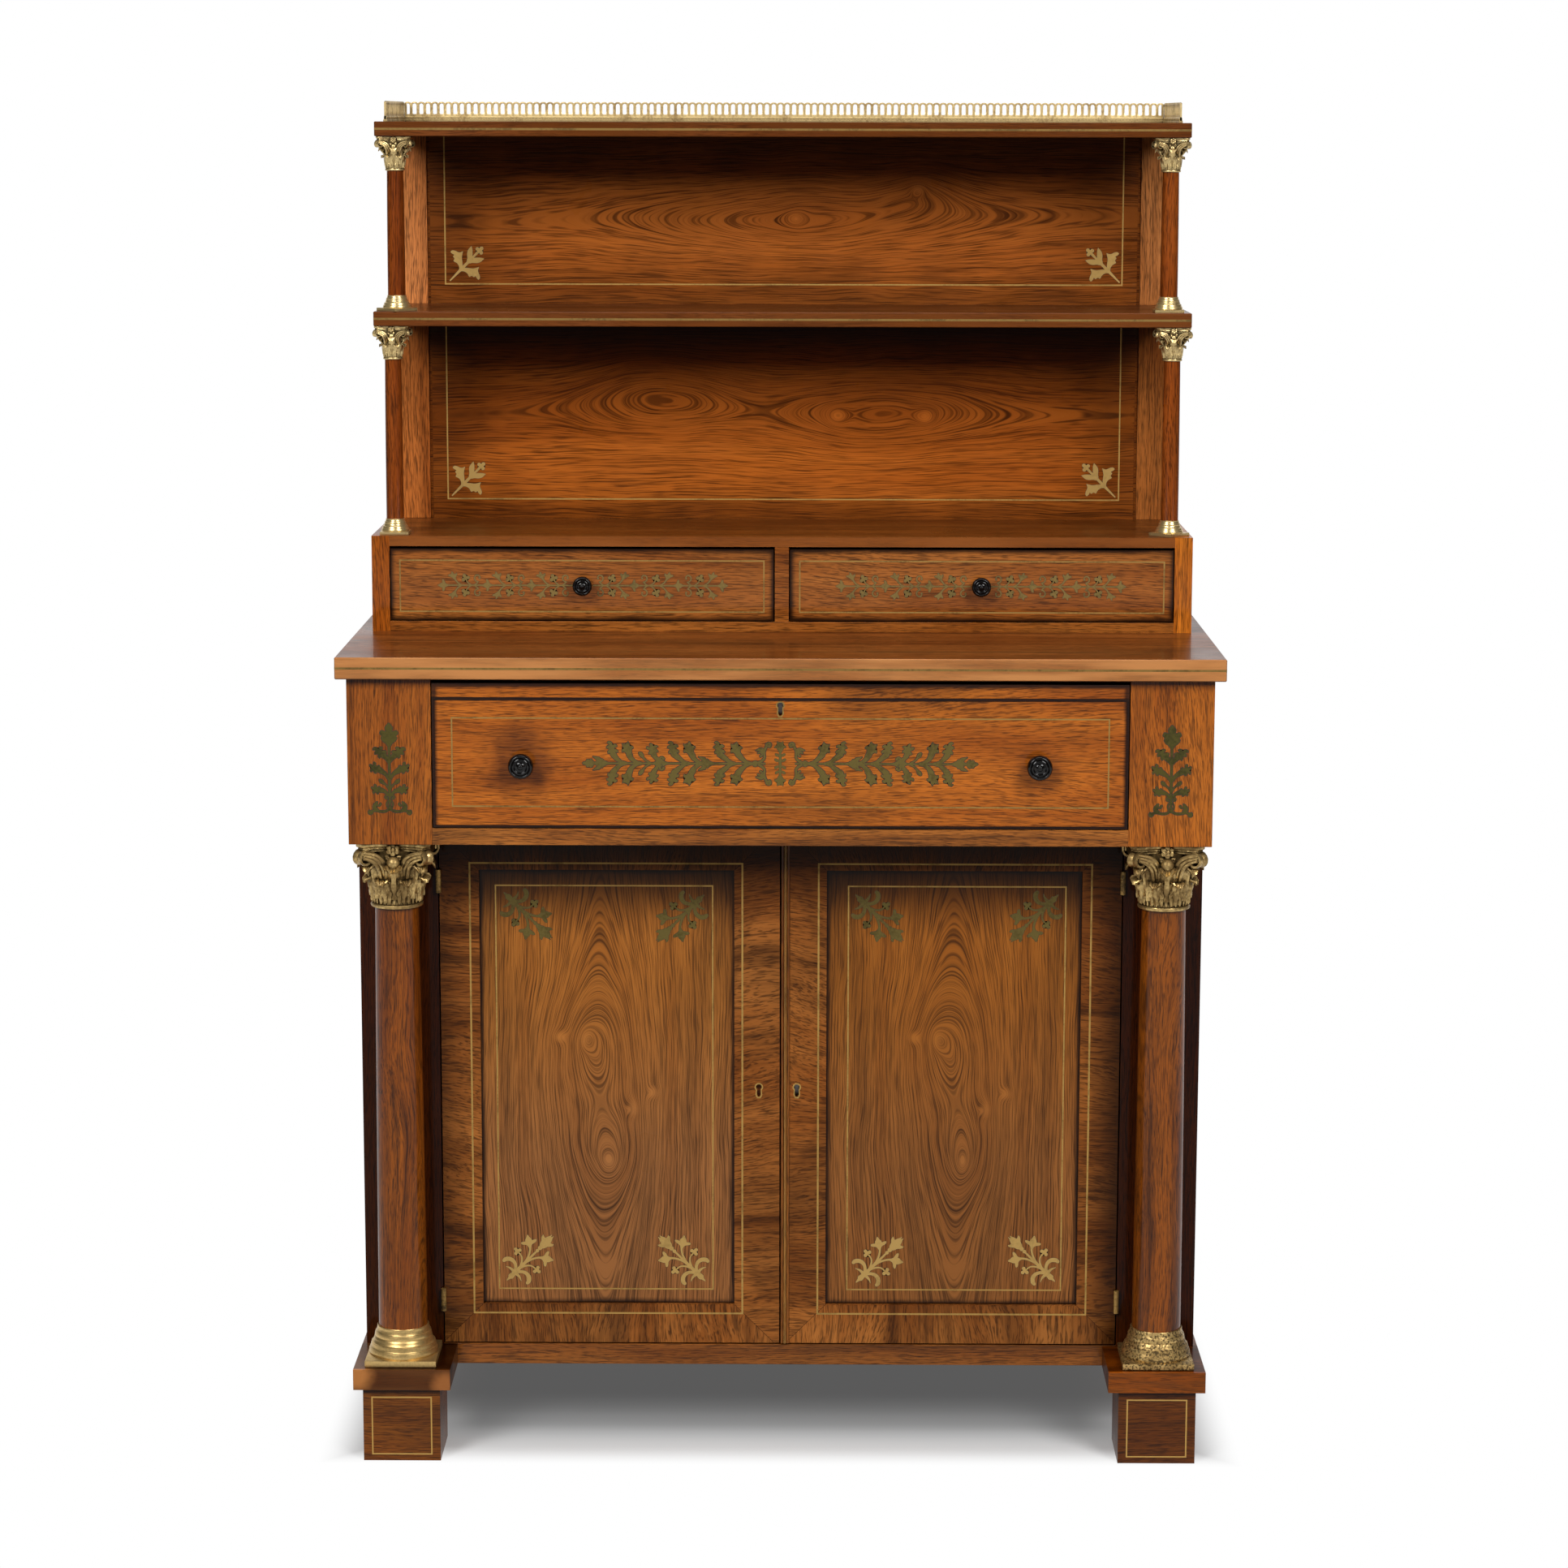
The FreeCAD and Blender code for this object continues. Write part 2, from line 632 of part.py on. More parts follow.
SMALL_DRAWER = dict(x0=9.2, x1=441.3, z0=920.8, z1=1001.5, front_t=14.0)
SMALL_KNOB_X = 224.5
SMALL_KNOB_Z = 961.0


def small_drawer_front():
    d = SMALL_DRAWER
    front = box(d["x0"], d["x1"], CASE_Y, CASE_Y + d["front_t"], d["z0"], d["z1"])
    hole = shank_hole(SMALL_KNOB_X, CASE_Y, SMALL_KNOB_Z, 4.0)
    return front.cut(Part.makeCompound([small_drawer_string(), hole]))


def small_drawer_string():
    d = SMALL_DRAWER
    return frame_string(d["x0"] + 11, d["x1"] - 10.5, d["z0"] + 9.7, d["z1"] - 13, CASE_Y)


def small_drawer_box():
    """Sides, back and bottom of a small drawer, 8 mm and 4 mm stuff."""
    y0, y1 = CASE_Y + SMALL_DRAWER["front_t"], REAR - 18
    z0 = TOP_Z + CASE_RAIL_T + EASE
    left = box(10.5, 18.5, y0, y1, z0, 990)
    right = box(432, 440, y0, y1, z0, 990)
    back = box(18.5, 432, y1 - 8, y1, z0 + 7, 988)
    bottom = box(18.5, 432, y0, y1 - 8, z0 + 3, z0 + 7)
    return [left, right, back, bottom]


def small_drawer_knob():
    return knob(SMALL_KNOB_X, CASE_Y, SMALL_KNOB_Z, 11.5, 19, 4.0, 14)


# ---------------------------------------------------------------- doors
DOOR = dict(z0=109.5, z1=698.5, meet=1.5, outer_x=DOORWAY_X - GAP, frame=45.0, lap=6.0)
DOOR_OPEN_X = (51.5, 336.0)
DOOR_OPEN_Z = (154.5, 655.5)
PANEL_SINK = 5.0
PANEL_T = 9.0


def door_frame():
    """Two stiles and two rails of the right-hand door, with a groove for the panel."""
    d = DOOR
    x0, x1 = DOOR_OPEN_X
    z0, z1 = DOOR_OPEN_Z
    y0, y1 = CARCASE_Y, CARCASE_Y + STILE_T
    meeting = box(d["meet"] / 2, x0, y0, y1, d["z0"], d["z1"])
    hanging = box(x1, d["outer_x"], y0, y1, d["z0"], d["z1"])
    lower = box(x0, x1, y0, y1, d["z0"], z0)
    upper = box(x0, x1, y0, y1, z1, d["z1"])
    cuts = [door_panel_blank(), door_outer_string()] + hinge_leaf_seat(-1)
    return [s.cut(Part.makeCompound(cuts)) for s in (meeting, hanging, lower, upper)]


def door_panel_blank():
    lap = DOOR["lap"]
    x0, x1 = DOOR_OPEN_X
    z0, z1 = DOOR_OPEN_Z
    return box(x0 - lap, x1 + lap, CARCASE_Y + PANEL_SINK, CARCASE_Y + PANEL_SINK + PANEL_T,
               z0 - lap, z1 + lap)


def door_panel():
    return door_panel_blank().cut(door_inner_string())


def door_outer_string():
    return frame_string(42.5, 346.3, 143.9, 663.0, CARCASE_Y, 2.0)


def door_inner_string():
    return frame_string(75.8, 318.0, 171.0, 636.8, CARCASE_Y + PANEL_SINK)


def door_key_place():
    """Keyhole of the right-hand door; the left-hand one is a plate over a blind hole."""
    return 18.6, 407.8


LOCK_Z = (382.0, 430.0)
DOOR_BOLT = (5.0, 12.0, 27.0)  # thickness, height and length


def door_lock_case():
    return box(DOOR["meet"] / 2, 40, CARCASE_Y + 9, CARCASE_Y + STILE_T, *LOCK_Z)


def bolt_channel(x0, x1, ease):
    t, h, length = DOOR_BOLT
    y, z = CARCASE_Y + 15.5, sum(LOCK_Z) / 2 - 8
    return box(x0, x1, y - t / 2 - ease, y + t / 2 + ease, z - h / 2 - ease, z + h / 2 + ease)


def door_lock():
    x, z = door_key_place()
    case = door_lock_case().cut(bolt_channel(-5, 30, EASE))
    return case.cut(keyhole(x, z, 0, CARCASE_Y, CARCASE_Y + 12))


def door_bolt():
    x0 = DOOR["meet"] / 2 + 0.3
    return bolt_channel(x0, x0 + DOOR_BOLT[2], 0)


def key_cuts(x, z, depth):
    return [keyhole(x, z, 1.6, CARCASE_Y - 0.01, CARCASE_Y + STRING_T),
            keyhole(x, z, 0, CARCASE_Y, CARCASE_Y + depth)]


def right_door_frame():
    x, z = door_key_place()
    cuts = Part.makeCompound(key_cuts(x, z, 12) + [door_lock_case()])
    frame = door_frame()
    return [frame[0].cut(cuts)] + frame[1:]


def left_door_frame():
    """The mirrored frame, with the bolt's mortise and a blind hole under its key plate."""
    x, z = door_key_place()
    x += 5.4
    seat = mirrored(bolt_channel(0, 12, 0.6))
    frame = [mirrored(s) for s in door_frame()]
    cuts = Part.makeCompound([mirrored(c) for c in key_cuts(x, z, 6)] + [seat])
    return [frame[0].cut(cuts)] + frame[1:]


def door_inlay():
    x, z = door_key_place()
    return [door_outer_string(), door_inner_string(), escutcheon(x, z, CARCASE_Y)]


def left_door_inlay():
    x, z = door_key_place()
    return [mirrored(s) for s in (door_outer_string(), door_inner_string(),
                                  escutcheon(x + 5.4, z, CARCASE_Y))]


def bead_string():
    """The brass line along the middle of the astragal."""
    x = (DOOR["meet"] / 2 + 10.4) / 2
    return box(x - 1.0, x + 1.0, CARCASE_Y - 2.5, CARCASE_Y - 1.3, DOOR["z0"], DOOR["z1"])


def meeting_bead():
    """A rounded astragal on the right-hand door's meeting edge, in three reeds."""
    d = DOOR
    x0, x1 = d["meet"] / 2, 10.4
    a, b = x0 + 3.2, x1 - 3.2
    y = CARCASE_Y
    steps = [(x0, y - 0.6), (x0 + 1.6, y - 2.2, a, y - 1.0), ((a + b) / 2, y - 2.6, b, y - 1.0),
             (x1 - 1.6, y - 2.2, x1, y - 0.6), (x1, y)]
    face = outline((x0, y), steps, lambda p, q: V(p, q, d["z0"]))
    return face.extrude(V(0, 0, d["z1"] - d["z0"])).cut(bead_string())


# ---------------------------------------------------------------- hinges
PIN_R = 1.5
PIN_FIT = 0.05


KNUCKLE_SIDES = 12


def hinge_flats(radius, z0, z1):
    """A solid with flats on the right-hand door's hinge axis: a knuckle or its bore."""
    blank = barrel_blank(radius, z1 - z0, KNUCKLE_SIDES)
    blank.translate(V(HINGE_X, HINGE_Y, z0))
    return blank


def leaf(side, z, z0, z1):
    """A leaf in its mortise, joined to its knuckle by a neck between z0 and z1."""
    x = HINGE_X + side * GAP / 2
    xa, xb = sorted((x, x + side * 1.2))
    y = CARCASE_Y + 0.3
    plate = box(xa, xb, y, CARCASE_Y + 18, z - HINGE_H / 2, z + HINGE_H / 2)
    neck = box(xa, xb, HINGE_Y + 1.6, y, z0, z1)
    return plate.fuse(neck)


def fixed_hinges():
    """Leaf and two outer knuckles of each hinge, screwed to the front stiles."""
    parts = []
    third = HINGE_H / 3
    bore_r = (PIN_R + PIN_FIT) / math.cos(math.pi / KNUCKLE_SIDES)
    for z in HINGE_Z:
        low, high = z - HINGE_H / 2, z + HINGE_H / 2
        half = leaf(+1, z, low, low + third).fuse(leaf(+1, z, high - third, high))
        half = half.fuse([hinge_flats(KNUCKLE_R, low, low + third),
                          hinge_flats(KNUCKLE_R, high - third, high)])
        bore = hinge_flats(bore_r, low - 1, high + 1)
        parts += pair(half.cut(bore).removeSplitter())
    return parts


def door_hinges():
    """Leaf, middle knuckle and pin of each hinge on the right-hand door."""
    parts = []
    third = HINGE_H / 3
    for z in HINGE_Z:
        low, high = z - HINGE_H / 2, z + HINGE_H / 2
        z0, z1 = low + third + 0.3, high - third - 0.3
        pin = Part.makeCylinder(PIN_R, HINGE_H, V(HINGE_X, HINGE_Y, low))
        half = leaf(-1, z, z0, z1).fuse([hinge_flats(KNUCKLE_R, z0, z1), pin])
        parts.append(half.removeSplitter())
    return parts


# ---------------------------------------------------------------- assembly
def save_carcase():
    save("top_board", top_board())
    save("frieze_posts", pair(frieze_post()))
    save("frieze_rail", frieze_rail())
    save("dust_board", dust_board())
    save("drawer_runners", drawer_runners())
    save("side_right", side_board())
    save("side_left", mirrored(side_board()))
    save("front_stiles", pair(front_stile()))
    save("plinth_board", plinth_board())
    save("plinth_pads", pair(plinth_pad()))
    save("front_feet", pair(front_foot()))
    save("rear_feet", pair(rear_foot()))
    save("back_boards", [back_board(), case_back()])
    save("cupboard_shelf", cupboard_shelf())
    save("shelf_battens", pair(shelf_batten()))
    save("large_columns", pair(large_column()))
    save("large_bases", pair(large_base()))
    save("large_capitals", pair(large_capital()))
    save("fixed_hinges", fixed_hinges())


def save_superstructure():
    top_of_shelf = SHELF_Z + SHELF_T
    save("case_ends", [tenon_holes(s) for s in pair(case_end())])
    save("case_bottom", case_bottom())
    save("case_divider", case_divider())
    save("ledge_board", tenon_holes(ledge_board()))
    save("back_stiles", back_stiles())
    save("lower_back_panel", back_panel(LEDGE_Z, SHELF_Z))
    save("upper_back_panel", back_panel(top_of_shelf, CROWN_Z))
    save("middle_shelf", shelf(SHELF_W, SHELF_Z, SHELF_T))
    save("top_shelf", shelf(CROWN_W, CROWN_Z, SHELF_T))
    save("small_columns", small_columns())
    save("small_bases", small_bases())
    save("small_capitals", small_capitals())
    save("gallery", gallery())
    save("edge_stringing", [top_string(), shelf_string(SHELF_W, SHELF_Z, SHELF_T),
                            shelf_string(CROWN_W, CROWN_Z, SHELF_T)] + pair(foot_string()))
    save("shelf_back_stringing", [back_string(LEDGE_Z, SHELF_Z),
                                  back_string(top_of_shelf, CROWN_Z)])


def save_drawers():
    save("frieze_drawer_front", frieze_drawer_front())
    save("frieze_drawer_bead", frieze_bead())
    save("frieze_drawer_box", frieze_drawer_box())
    save("frieze_drawer_knobs", frieze_drawer_knobs())
    save("frieze_drawer_inlay", [frieze_stringing(), escutcheon(0, 855.2, FRIEZE_Y)])
    save("frieze_drawer_lock", frieze_lock())
    save("frieze_lock_bolt", frieze_bolt())
    for side, turn in (("right", lambda s: s), ("left", mirrored)):
        save(side + "_drawer_front", turn(small_drawer_front()))
        save(side + "_drawer_box", [turn(s) for s in small_drawer_box()])
        save(side + "_drawer_knob", turn(small_drawer_knob()))
        save(side + "_drawer_stringing", turn(small_drawer_string()))


def save_doors():
    save("right_door_frame", right_door_frame())
    save("left_door_frame", left_door_frame())
    save("right_door_panel", door_panel())
    save("left_door_panel", mirrored(door_panel()))
    save("right_door_inlay", door_inlay() + [bead_string()])
    save("left_door_inlay", left_door_inlay())
    save("right_door_hinges", door_hinges())
    save("left_door_hinges", [mirrored(s) for s in door_hinges()])
    save("right_door_lock", door_lock())
    save("right_door_bolt", door_bolt())
    save("meeting_bead", meeting_bead())


if __name__ == "__main__":
    os.makedirs("parts", exist_ok=True)
    save_carcase()
    save_superstructure()
    save_drawers()
    save_doors()
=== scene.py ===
"""A brass-inlaid rosewood chiffonier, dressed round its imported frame.

The joined boards, doors and drawers come from the frame and get their finishes here. Turned
work, cast capitals, the pierced gallery, screws and the foliate brass are built in this file.
Everything is in metres in the frame's own axes: +Z up, the front faces -Y.
"""

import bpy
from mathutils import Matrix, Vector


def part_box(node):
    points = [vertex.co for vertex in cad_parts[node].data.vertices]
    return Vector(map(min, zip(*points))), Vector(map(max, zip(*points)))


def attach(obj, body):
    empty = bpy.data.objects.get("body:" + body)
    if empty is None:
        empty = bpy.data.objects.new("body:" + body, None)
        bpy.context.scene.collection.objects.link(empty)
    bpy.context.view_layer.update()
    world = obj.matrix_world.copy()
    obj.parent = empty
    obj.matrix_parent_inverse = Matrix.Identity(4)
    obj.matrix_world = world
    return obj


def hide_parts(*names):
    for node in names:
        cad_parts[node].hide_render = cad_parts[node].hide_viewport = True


bl_info = {
    "name": "Brass-inlaid chiffonier",
    "version": (1, 0, 0),
    "blender": (4, 5, 0),
    "location": "3D View > Sidebar > Chiffonier",
    "description": "Finishes, turned work, cast brass and inlay of a rosewood chiffonier",
    "category": "Add Mesh",
}

import math
from math import cos, pi, radians, sin

import bmesh
import bpy
from mathutils import Matrix, Vector

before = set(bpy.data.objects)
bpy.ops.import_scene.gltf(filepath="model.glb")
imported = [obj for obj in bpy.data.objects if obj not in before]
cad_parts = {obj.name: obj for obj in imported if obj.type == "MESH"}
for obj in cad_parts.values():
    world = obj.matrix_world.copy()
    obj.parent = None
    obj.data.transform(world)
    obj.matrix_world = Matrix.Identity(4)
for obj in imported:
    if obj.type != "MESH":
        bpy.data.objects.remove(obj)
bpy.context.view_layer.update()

MM = 0.001
SAME = Matrix.Identity(4)


# ------------------------------------------------------------------ places read from the frame
FRIEZE_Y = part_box("frieze_drawer_front")[0].y
POST_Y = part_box("frieze_posts")[0].y
CASE_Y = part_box("right_drawer_front")[0].y
DOOR_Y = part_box("front_stiles")[0].y
PANEL_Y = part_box("right_door_panel")[0].y
SHELF_BACK_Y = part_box("upper_back_panel")[0].y
TOP_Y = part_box("top_board")[0].y
LEDGE_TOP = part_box("ledge_board")[1].z
MIDDLE_LOW, MIDDLE_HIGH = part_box("middle_shelf")
CROWN_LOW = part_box("top_shelf")[0]
FRIEZE_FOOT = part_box("frieze_posts")[0].z
LARGE_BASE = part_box("large_bases")


# ------------------------------------------------------------------ user settings
def a_colour(name, description, *default):
    return bpy.props.FloatVectorProperty(
        name=name, description=description, subtype="COLOR", size=3, min=0, max=1, default=default)


def a_share(name, description, most, default):
    return bpy.props.FloatProperty(
        name=name, description=description, subtype="FACTOR", min=0, max=most, default=default)


def a_width(name, description, least, most, default):
    return bpy.props.FloatProperty(
        name=name, description=description, subtype="DISTANCE", unit="LENGTH", min=least, max=most,
        default=default)


def a_power(name, description, default):
    return bpy.props.FloatProperty(
        name=name, description=description, unit="POWER", min=0, max=2000, default=default)


class ChiffonierWood(bpy.types.PropertyGroup):
    light: a_colour("Light wood", "Palest figure of the rosewood", 0.62, 0.180, 0.027)
    middle: a_colour("Middle wood", "Ground colour of the rosewood", 0.30, 0.070, 0.0080)
    dark: a_colour("Dark wood", "Dark streaks of the rosewood", 0.024, 0.0056, 0.0013)
    lining: a_colour("Lining wood", "Plain wood of the linings and the carcase", 0.42, 0.25, 0.12)
    polish: a_share("Polish", "Strength of the French polish", 1, 0.22)
    edge_wear: a_width("Rounded edges", "Width of the worn edges of boards", 0, 0.003, 0.0006)


class ChiffonierBrass(bpy.types.PropertyGroup):
    cast: a_colour("Cast brass", "Rubbed brass of small castings and the gallery", 0.66, 0.49, 0.22)
    dull: a_colour("Dulled brass", "The same brass where it is not rubbed", 0.30, 0.20, 0.08)
    # The tarnish colour also serves as the painted shade laid in the hollows of the castings.
    tarnish: a_colour("Tarnish", "Brown dirt in hollows", 0.050, 0.030, 0.012)
    line: a_colour("Line brass", "Brass of the thin lines", 0.44, 0.26, 0.070)
    leaf: a_colour("Inlay brass", "Rubbed brass of the leaf sprays", 0.50, 0.31, 0.095)
    inlay_proud: a_width(
        "Inlay proud", "Height of the inlay over the wood", 0.00005, 0.001, 0.00018)


class ChiffonierTurning(bpy.types.PropertyGroup):
    steps: bpy.props.IntProperty(
        name="Steps round", description="Faces round turned work", min=24, max=128, default=72)
    swelling: a_share("Swelling", "Entasis of the column shafts", 0.1, 0.02)
    leaf_lobes: bpy.props.IntProperty(
        name="Leaf lobes", description="Lobes on each side of an acanthus leaf",
        min=2, max=5, default=3)


class ChiffonierGallery(bpy.types.PropertyGroup):
    pitch: a_width("Arch pitch", "From one opening to the next", 0.004, 0.02, 0.00785)
    opening: a_width("Opening width", "Clear width of one opening", 0.002, 0.015, 0.0047)
    thickness: a_width("Thickness", "Thickness of the brass strip", 0.0005, 0.003, 0.0016)


class ChiffonierStage(bpy.types.PropertyGroup):
    key: a_power("Key lamps", "Power of each of the two large lamps in front", 140.0)
    fill: a_power("Overhead lamp", "Power of the lamp above", 30.0)
    ambient: bpy.props.FloatProperty(
        name="Room light", description="Strength of the plain room light",
        min=0, max=2, default=0.06)
    lens: bpy.props.FloatProperty(
        name="Lens", description="Focal length in millimetres",
        subtype="DISTANCE_CAMERA", min=20, max=300, default=89.74)


def settings(name):
    return getattr(bpy.context.scene, "chiffonier_" + name)


# ------------------------------------------------------------------ wiring of node trees
class Graph:
    """Short calls that add nodes to a tree and hand back their output sockets."""

    def __init__(self, tree):
        self.tree = tree

    def node(self, kind, **values):
        made = self.tree.nodes.new(kind)
        for key, value in values.items():
            setattr(made, key, value)
        return made

    def put(self, socket, value):
        if isinstance(value, bpy.types.NodeSocket):
            self.tree.links.new(value, socket)
        elif value is not None:
            socket.default_value = value

    def math(self, operation, *values, clamp=False):
        made = self.node("ShaderNodeMath", operation=operation, use_clamp=clamp)
        for socket, value in zip(made.inputs, values):
            self.put(socket, value)
        return made.outputs[0]

    def add(self, a, b):
        return self.math("ADD", a, b)

    def less(self, a, b):
        return self.math("SUBTRACT", a, b)

    def times(self, a, b):
        return self.math("MULTIPLY", a, b)

    def vector(self, operation, *values):
        made = self.node("ShaderNodeVectorMath", operation=operation)
        for socket, value in zip(made.inputs, values):
            self.put(socket, value)
        return made.outputs["Value" if operation in ("LENGTH", "DOT_PRODUCT") else "Vector"]

    def split(self, vector):
        made = self.node("ShaderNodeSeparateXYZ")
        self.put(made.inputs[0], vector)
        return made.outputs

    def axis(self, vector, name):
        return self.split(vector)["XYZ".index(name)]

    def join(self, *values):
        made = self.node("ShaderNodeCombineXYZ")
        for socket, value in zip(made.inputs, values):
            self.put(socket, value)
        return made.outputs[0]

    def noise(self, vector, stretch, detail, rough=0.5):
        """Noise on the vector times stretch, which is one number or three."""
        stretch = stretch if isinstance(stretch, tuple) else (stretch,) * 3
        made = self.node("ShaderNodeTexNoise")
        for key, value in (("Vector", self.vector("MULTIPLY", vector, stretch)), ("Scale", 1.0),
                           ("Detail", detail), ("Roughness", rough)):
            self.put(made.inputs[key], value)
        return made.outputs["Fac"]

    def ease(self, value, low, high, to_low=0.0, to_high=1.0):
        made = self.node("ShaderNodeMapRange", interpolation_type="SMOOTHSTEP")
        for socket, v in zip(made.inputs, (value, low, high, to_low, to_high)):
            self.put(socket, v)
        return made.outputs[0]

    def blend(self, factor, a, b):
        made = self.node("ShaderNodeMix", data_type="RGBA", blend_type="MIX")
        for index, value in ((0, factor), (6, colour(a)), (7, colour(b))):
            self.put(made.inputs[index], value)
        return made.outputs[2]

    def place(self):
        return self.node("ShaderNodeTexCoord").outputs["Object"]


def node_group(name, kind, inputs, outputs):
    """A new node group with its sockets, its graph, and its inputs' sockets inside."""
    tree = bpy.data.node_groups.new(name, kind)
    for in_out, sockets in (("INPUT", inputs), ("OUTPUT", outputs)):
        for label, socket in sockets.items():
            tree.interface.new_socket(label, in_out=in_out, socket_type="NodeSocket" + socket)
    g = Graph(tree)
    return tree, g, g.node("NodeGroupInput").outputs


def colour(value):
    """An RGBA default out of three numbers, or the socket itself."""
    if isinstance(value, bpy.types.NodeSocket):
        return value
    return (*tuple(value)[:3], 1.0)


def new_material(name):
    """An empty material, its graph, and its surface shader."""
    material = bpy.data.materials.new(name)
    material.use_nodes = True
    return material, Graph(material.node_tree), material.node_tree.nodes["Principled BSDF"]


def wire(g, node, **values):
    """Sets or wires inputs of a node; an underscore stands for a space."""
    for key, value in values.items():
        g.put(node.inputs[key.replace("_", " ")], value)


def bump(g, height, distance, strength):
    """A normal out of a height."""
    made = g.node("ShaderNodeBump")
    wire(g, made, Height=height, Distance=distance, Strength=strength)
    return made.outputs[0]


# ------------------------------------------------------------------ wood
KNOT_SIZE = 0.015  # eyes smaller than this are knots, with a bright heart


def grain_group():
    """Rosewood figure, made once. Its Vector is in metres with the grain along X."""
    if "Rosewood figure" in bpy.data.node_groups:
        return bpy.data.node_groups["Rosewood figure"]
    tree, g, given = node_group(
        "Rosewood figure", "ShaderNodeTree",
        {"Vector": "Vector", "Warp": "Float", "Streaks": "Float", "Rings": "Float",
         "Light": "Color", "Middle": "Color", "Dark": "Color"},
        {"Color": "Color", "Height": "Float"})
    p = given["Vector"]
    meander = g.less(g.noise(p, (1.7, 7, 7), detail=1), 0.5)
    ripple = g.less(g.noise(p, (9, 30, 30), detail=2), 0.5)
    bend = g.add(g.times(meander, 0.085), g.times(ripple, 0.009))
    shift = g.times(bend, given["Warp"])
    q = g.vector("ADD", p, g.join(0.0, shift, g.times(shift, 0.5)))
    cloud = g.noise(p, (4, 11, 11), detail=2)
    bands = g.noise(q, (1.2, 34, 34), detail=3, rough=0.6)
    fibres = g.noise(q, (22, 560, 560), detail=2, rough=0.65)
    pores = g.noise(q, (70, 1150, 1150), detail=1)
    tone = g.add(g.times(bands, 0.60), g.times(cloud, 0.60))
    tone = g.math("MULTIPLY_ADD", fibres, 0.30, tone)
    paint = g.blend(g.ease(tone, 0.56, 0.96), given["Middle"], given["Light"])
    paint = g.blend(g.ease(fibres, 0.28, 0.47, 0.36, 0.0), paint, given["Light"])
    paint = g.blend(g.ease(cloud, 0.50, 0.78, 0.0, 0.55), paint, given["Dark"])
    vein = g.noise(q, (0.9, 66, 66), detail=4, rough=0.6)
    paint = g.blend(g.times(g.ease(vein, 0.48, 0.74, 0.0, 0.9), given["Streaks"]), paint,
                    given["Dark"])
    drift = g.noise(q, (0.6, 15, 15), detail=1)
    turns = g.math("MULTIPLY_ADD", g.split(q)[1], 190.0, g.times(drift, 11.0))
    off = g.math("ABSOLUTE", g.less(g.math("FRACT", turns), 0.5))
    fading = g.noise(q, (5, 60, 60), detail=2)
    ring = g.times(g.ease(off, 0.02, 0.16, 1.0, 0.0), g.ease(fading, 0.34, 0.62, 0.15, 0.95))
    paint = g.blend(g.times(ring, given["Rings"]), paint, given["Dark"])
    paint = g.blend(g.ease(fibres, 0.48, 0.68, 0.0, 0.66), paint, given["Dark"])
    paint = g.blend(g.ease(pores, 0.50, 0.67, 0.0, 0.6), paint, given["Dark"])
    height = g.less(g.times(fibres, 0.25), g.ease(pores, 0.54, 0.7))
    wire(g, g.node("NodeGroupOutput"), Color=paint, Height=height)
    return tree


def shifted(g, vector, seed):
    """The vector moved to a part of the figure that goes with the seed."""
    return g.vector("ADD", vector, (seed * 0.731, seed * 0.377, seed * 0.193))


def along(g, vector, grain, seed):
    """Turns object axes so that the grain runs along X, and moves the figure by the seed."""
    x, y, z = g.split(vector)
    return shifted(g, g.join(*{"X": (x, z, y), "Y": (y, x, z), "Z": (z, x, y)}[grain]), seed)


def eyed(g, vector, ridge, eyes):
    """The grain of a plain-sawn sheet, and how near the heart of a knot a place is.

    ridge is where the sheet's middle lies across the grain; the grain runs straight beside it
    and bulges round each eye, (along, across, length over width, size, bulge), all in metres."""
    u, v, w = g.split(vector)
    wander = g.noise(vector, (3.5, 9, 0), detail=3)
    v = g.add(v, g.times(g.less(wander, 0.5), 0.03))
    field = g.vector("LENGTH", g.join(g.less(v, ridge), 0.026, 0.0))
    heart = 0.0
    for a, b, stretch, size, bulge in eyes:
        reach = g.vector("LENGTH", g.join(
            g.math("DIVIDE", g.less(u, a), stretch), g.less(v, b), 0.0))
        hill = g.math("EXPONENT", g.times(g.times(reach, reach), -1.0 / size ** 2))
        field = g.math("MULTIPLY_ADD", hill, -bulge, field)
        if size < KNOT_SIZE:
            heart = g.math("ADD", g.ease(reach, 0.001, 0.010, 1.0, 0.0), heart, clamp=True)
    return g.join(g.times(u, 0.4), field, w), heart


def figure(g, vector, warp, streaks, rings, shades):
    """The paint and the height of the rosewood figure in three shades, light to dark."""
    group = g.node("ShaderNodeGroup", node_tree=grain_group())
    for socket, value in zip(group.inputs, (vector, warp, streaks, rings, *map(colour, shades))):
        g.put(socket, value)
    return group.outputs


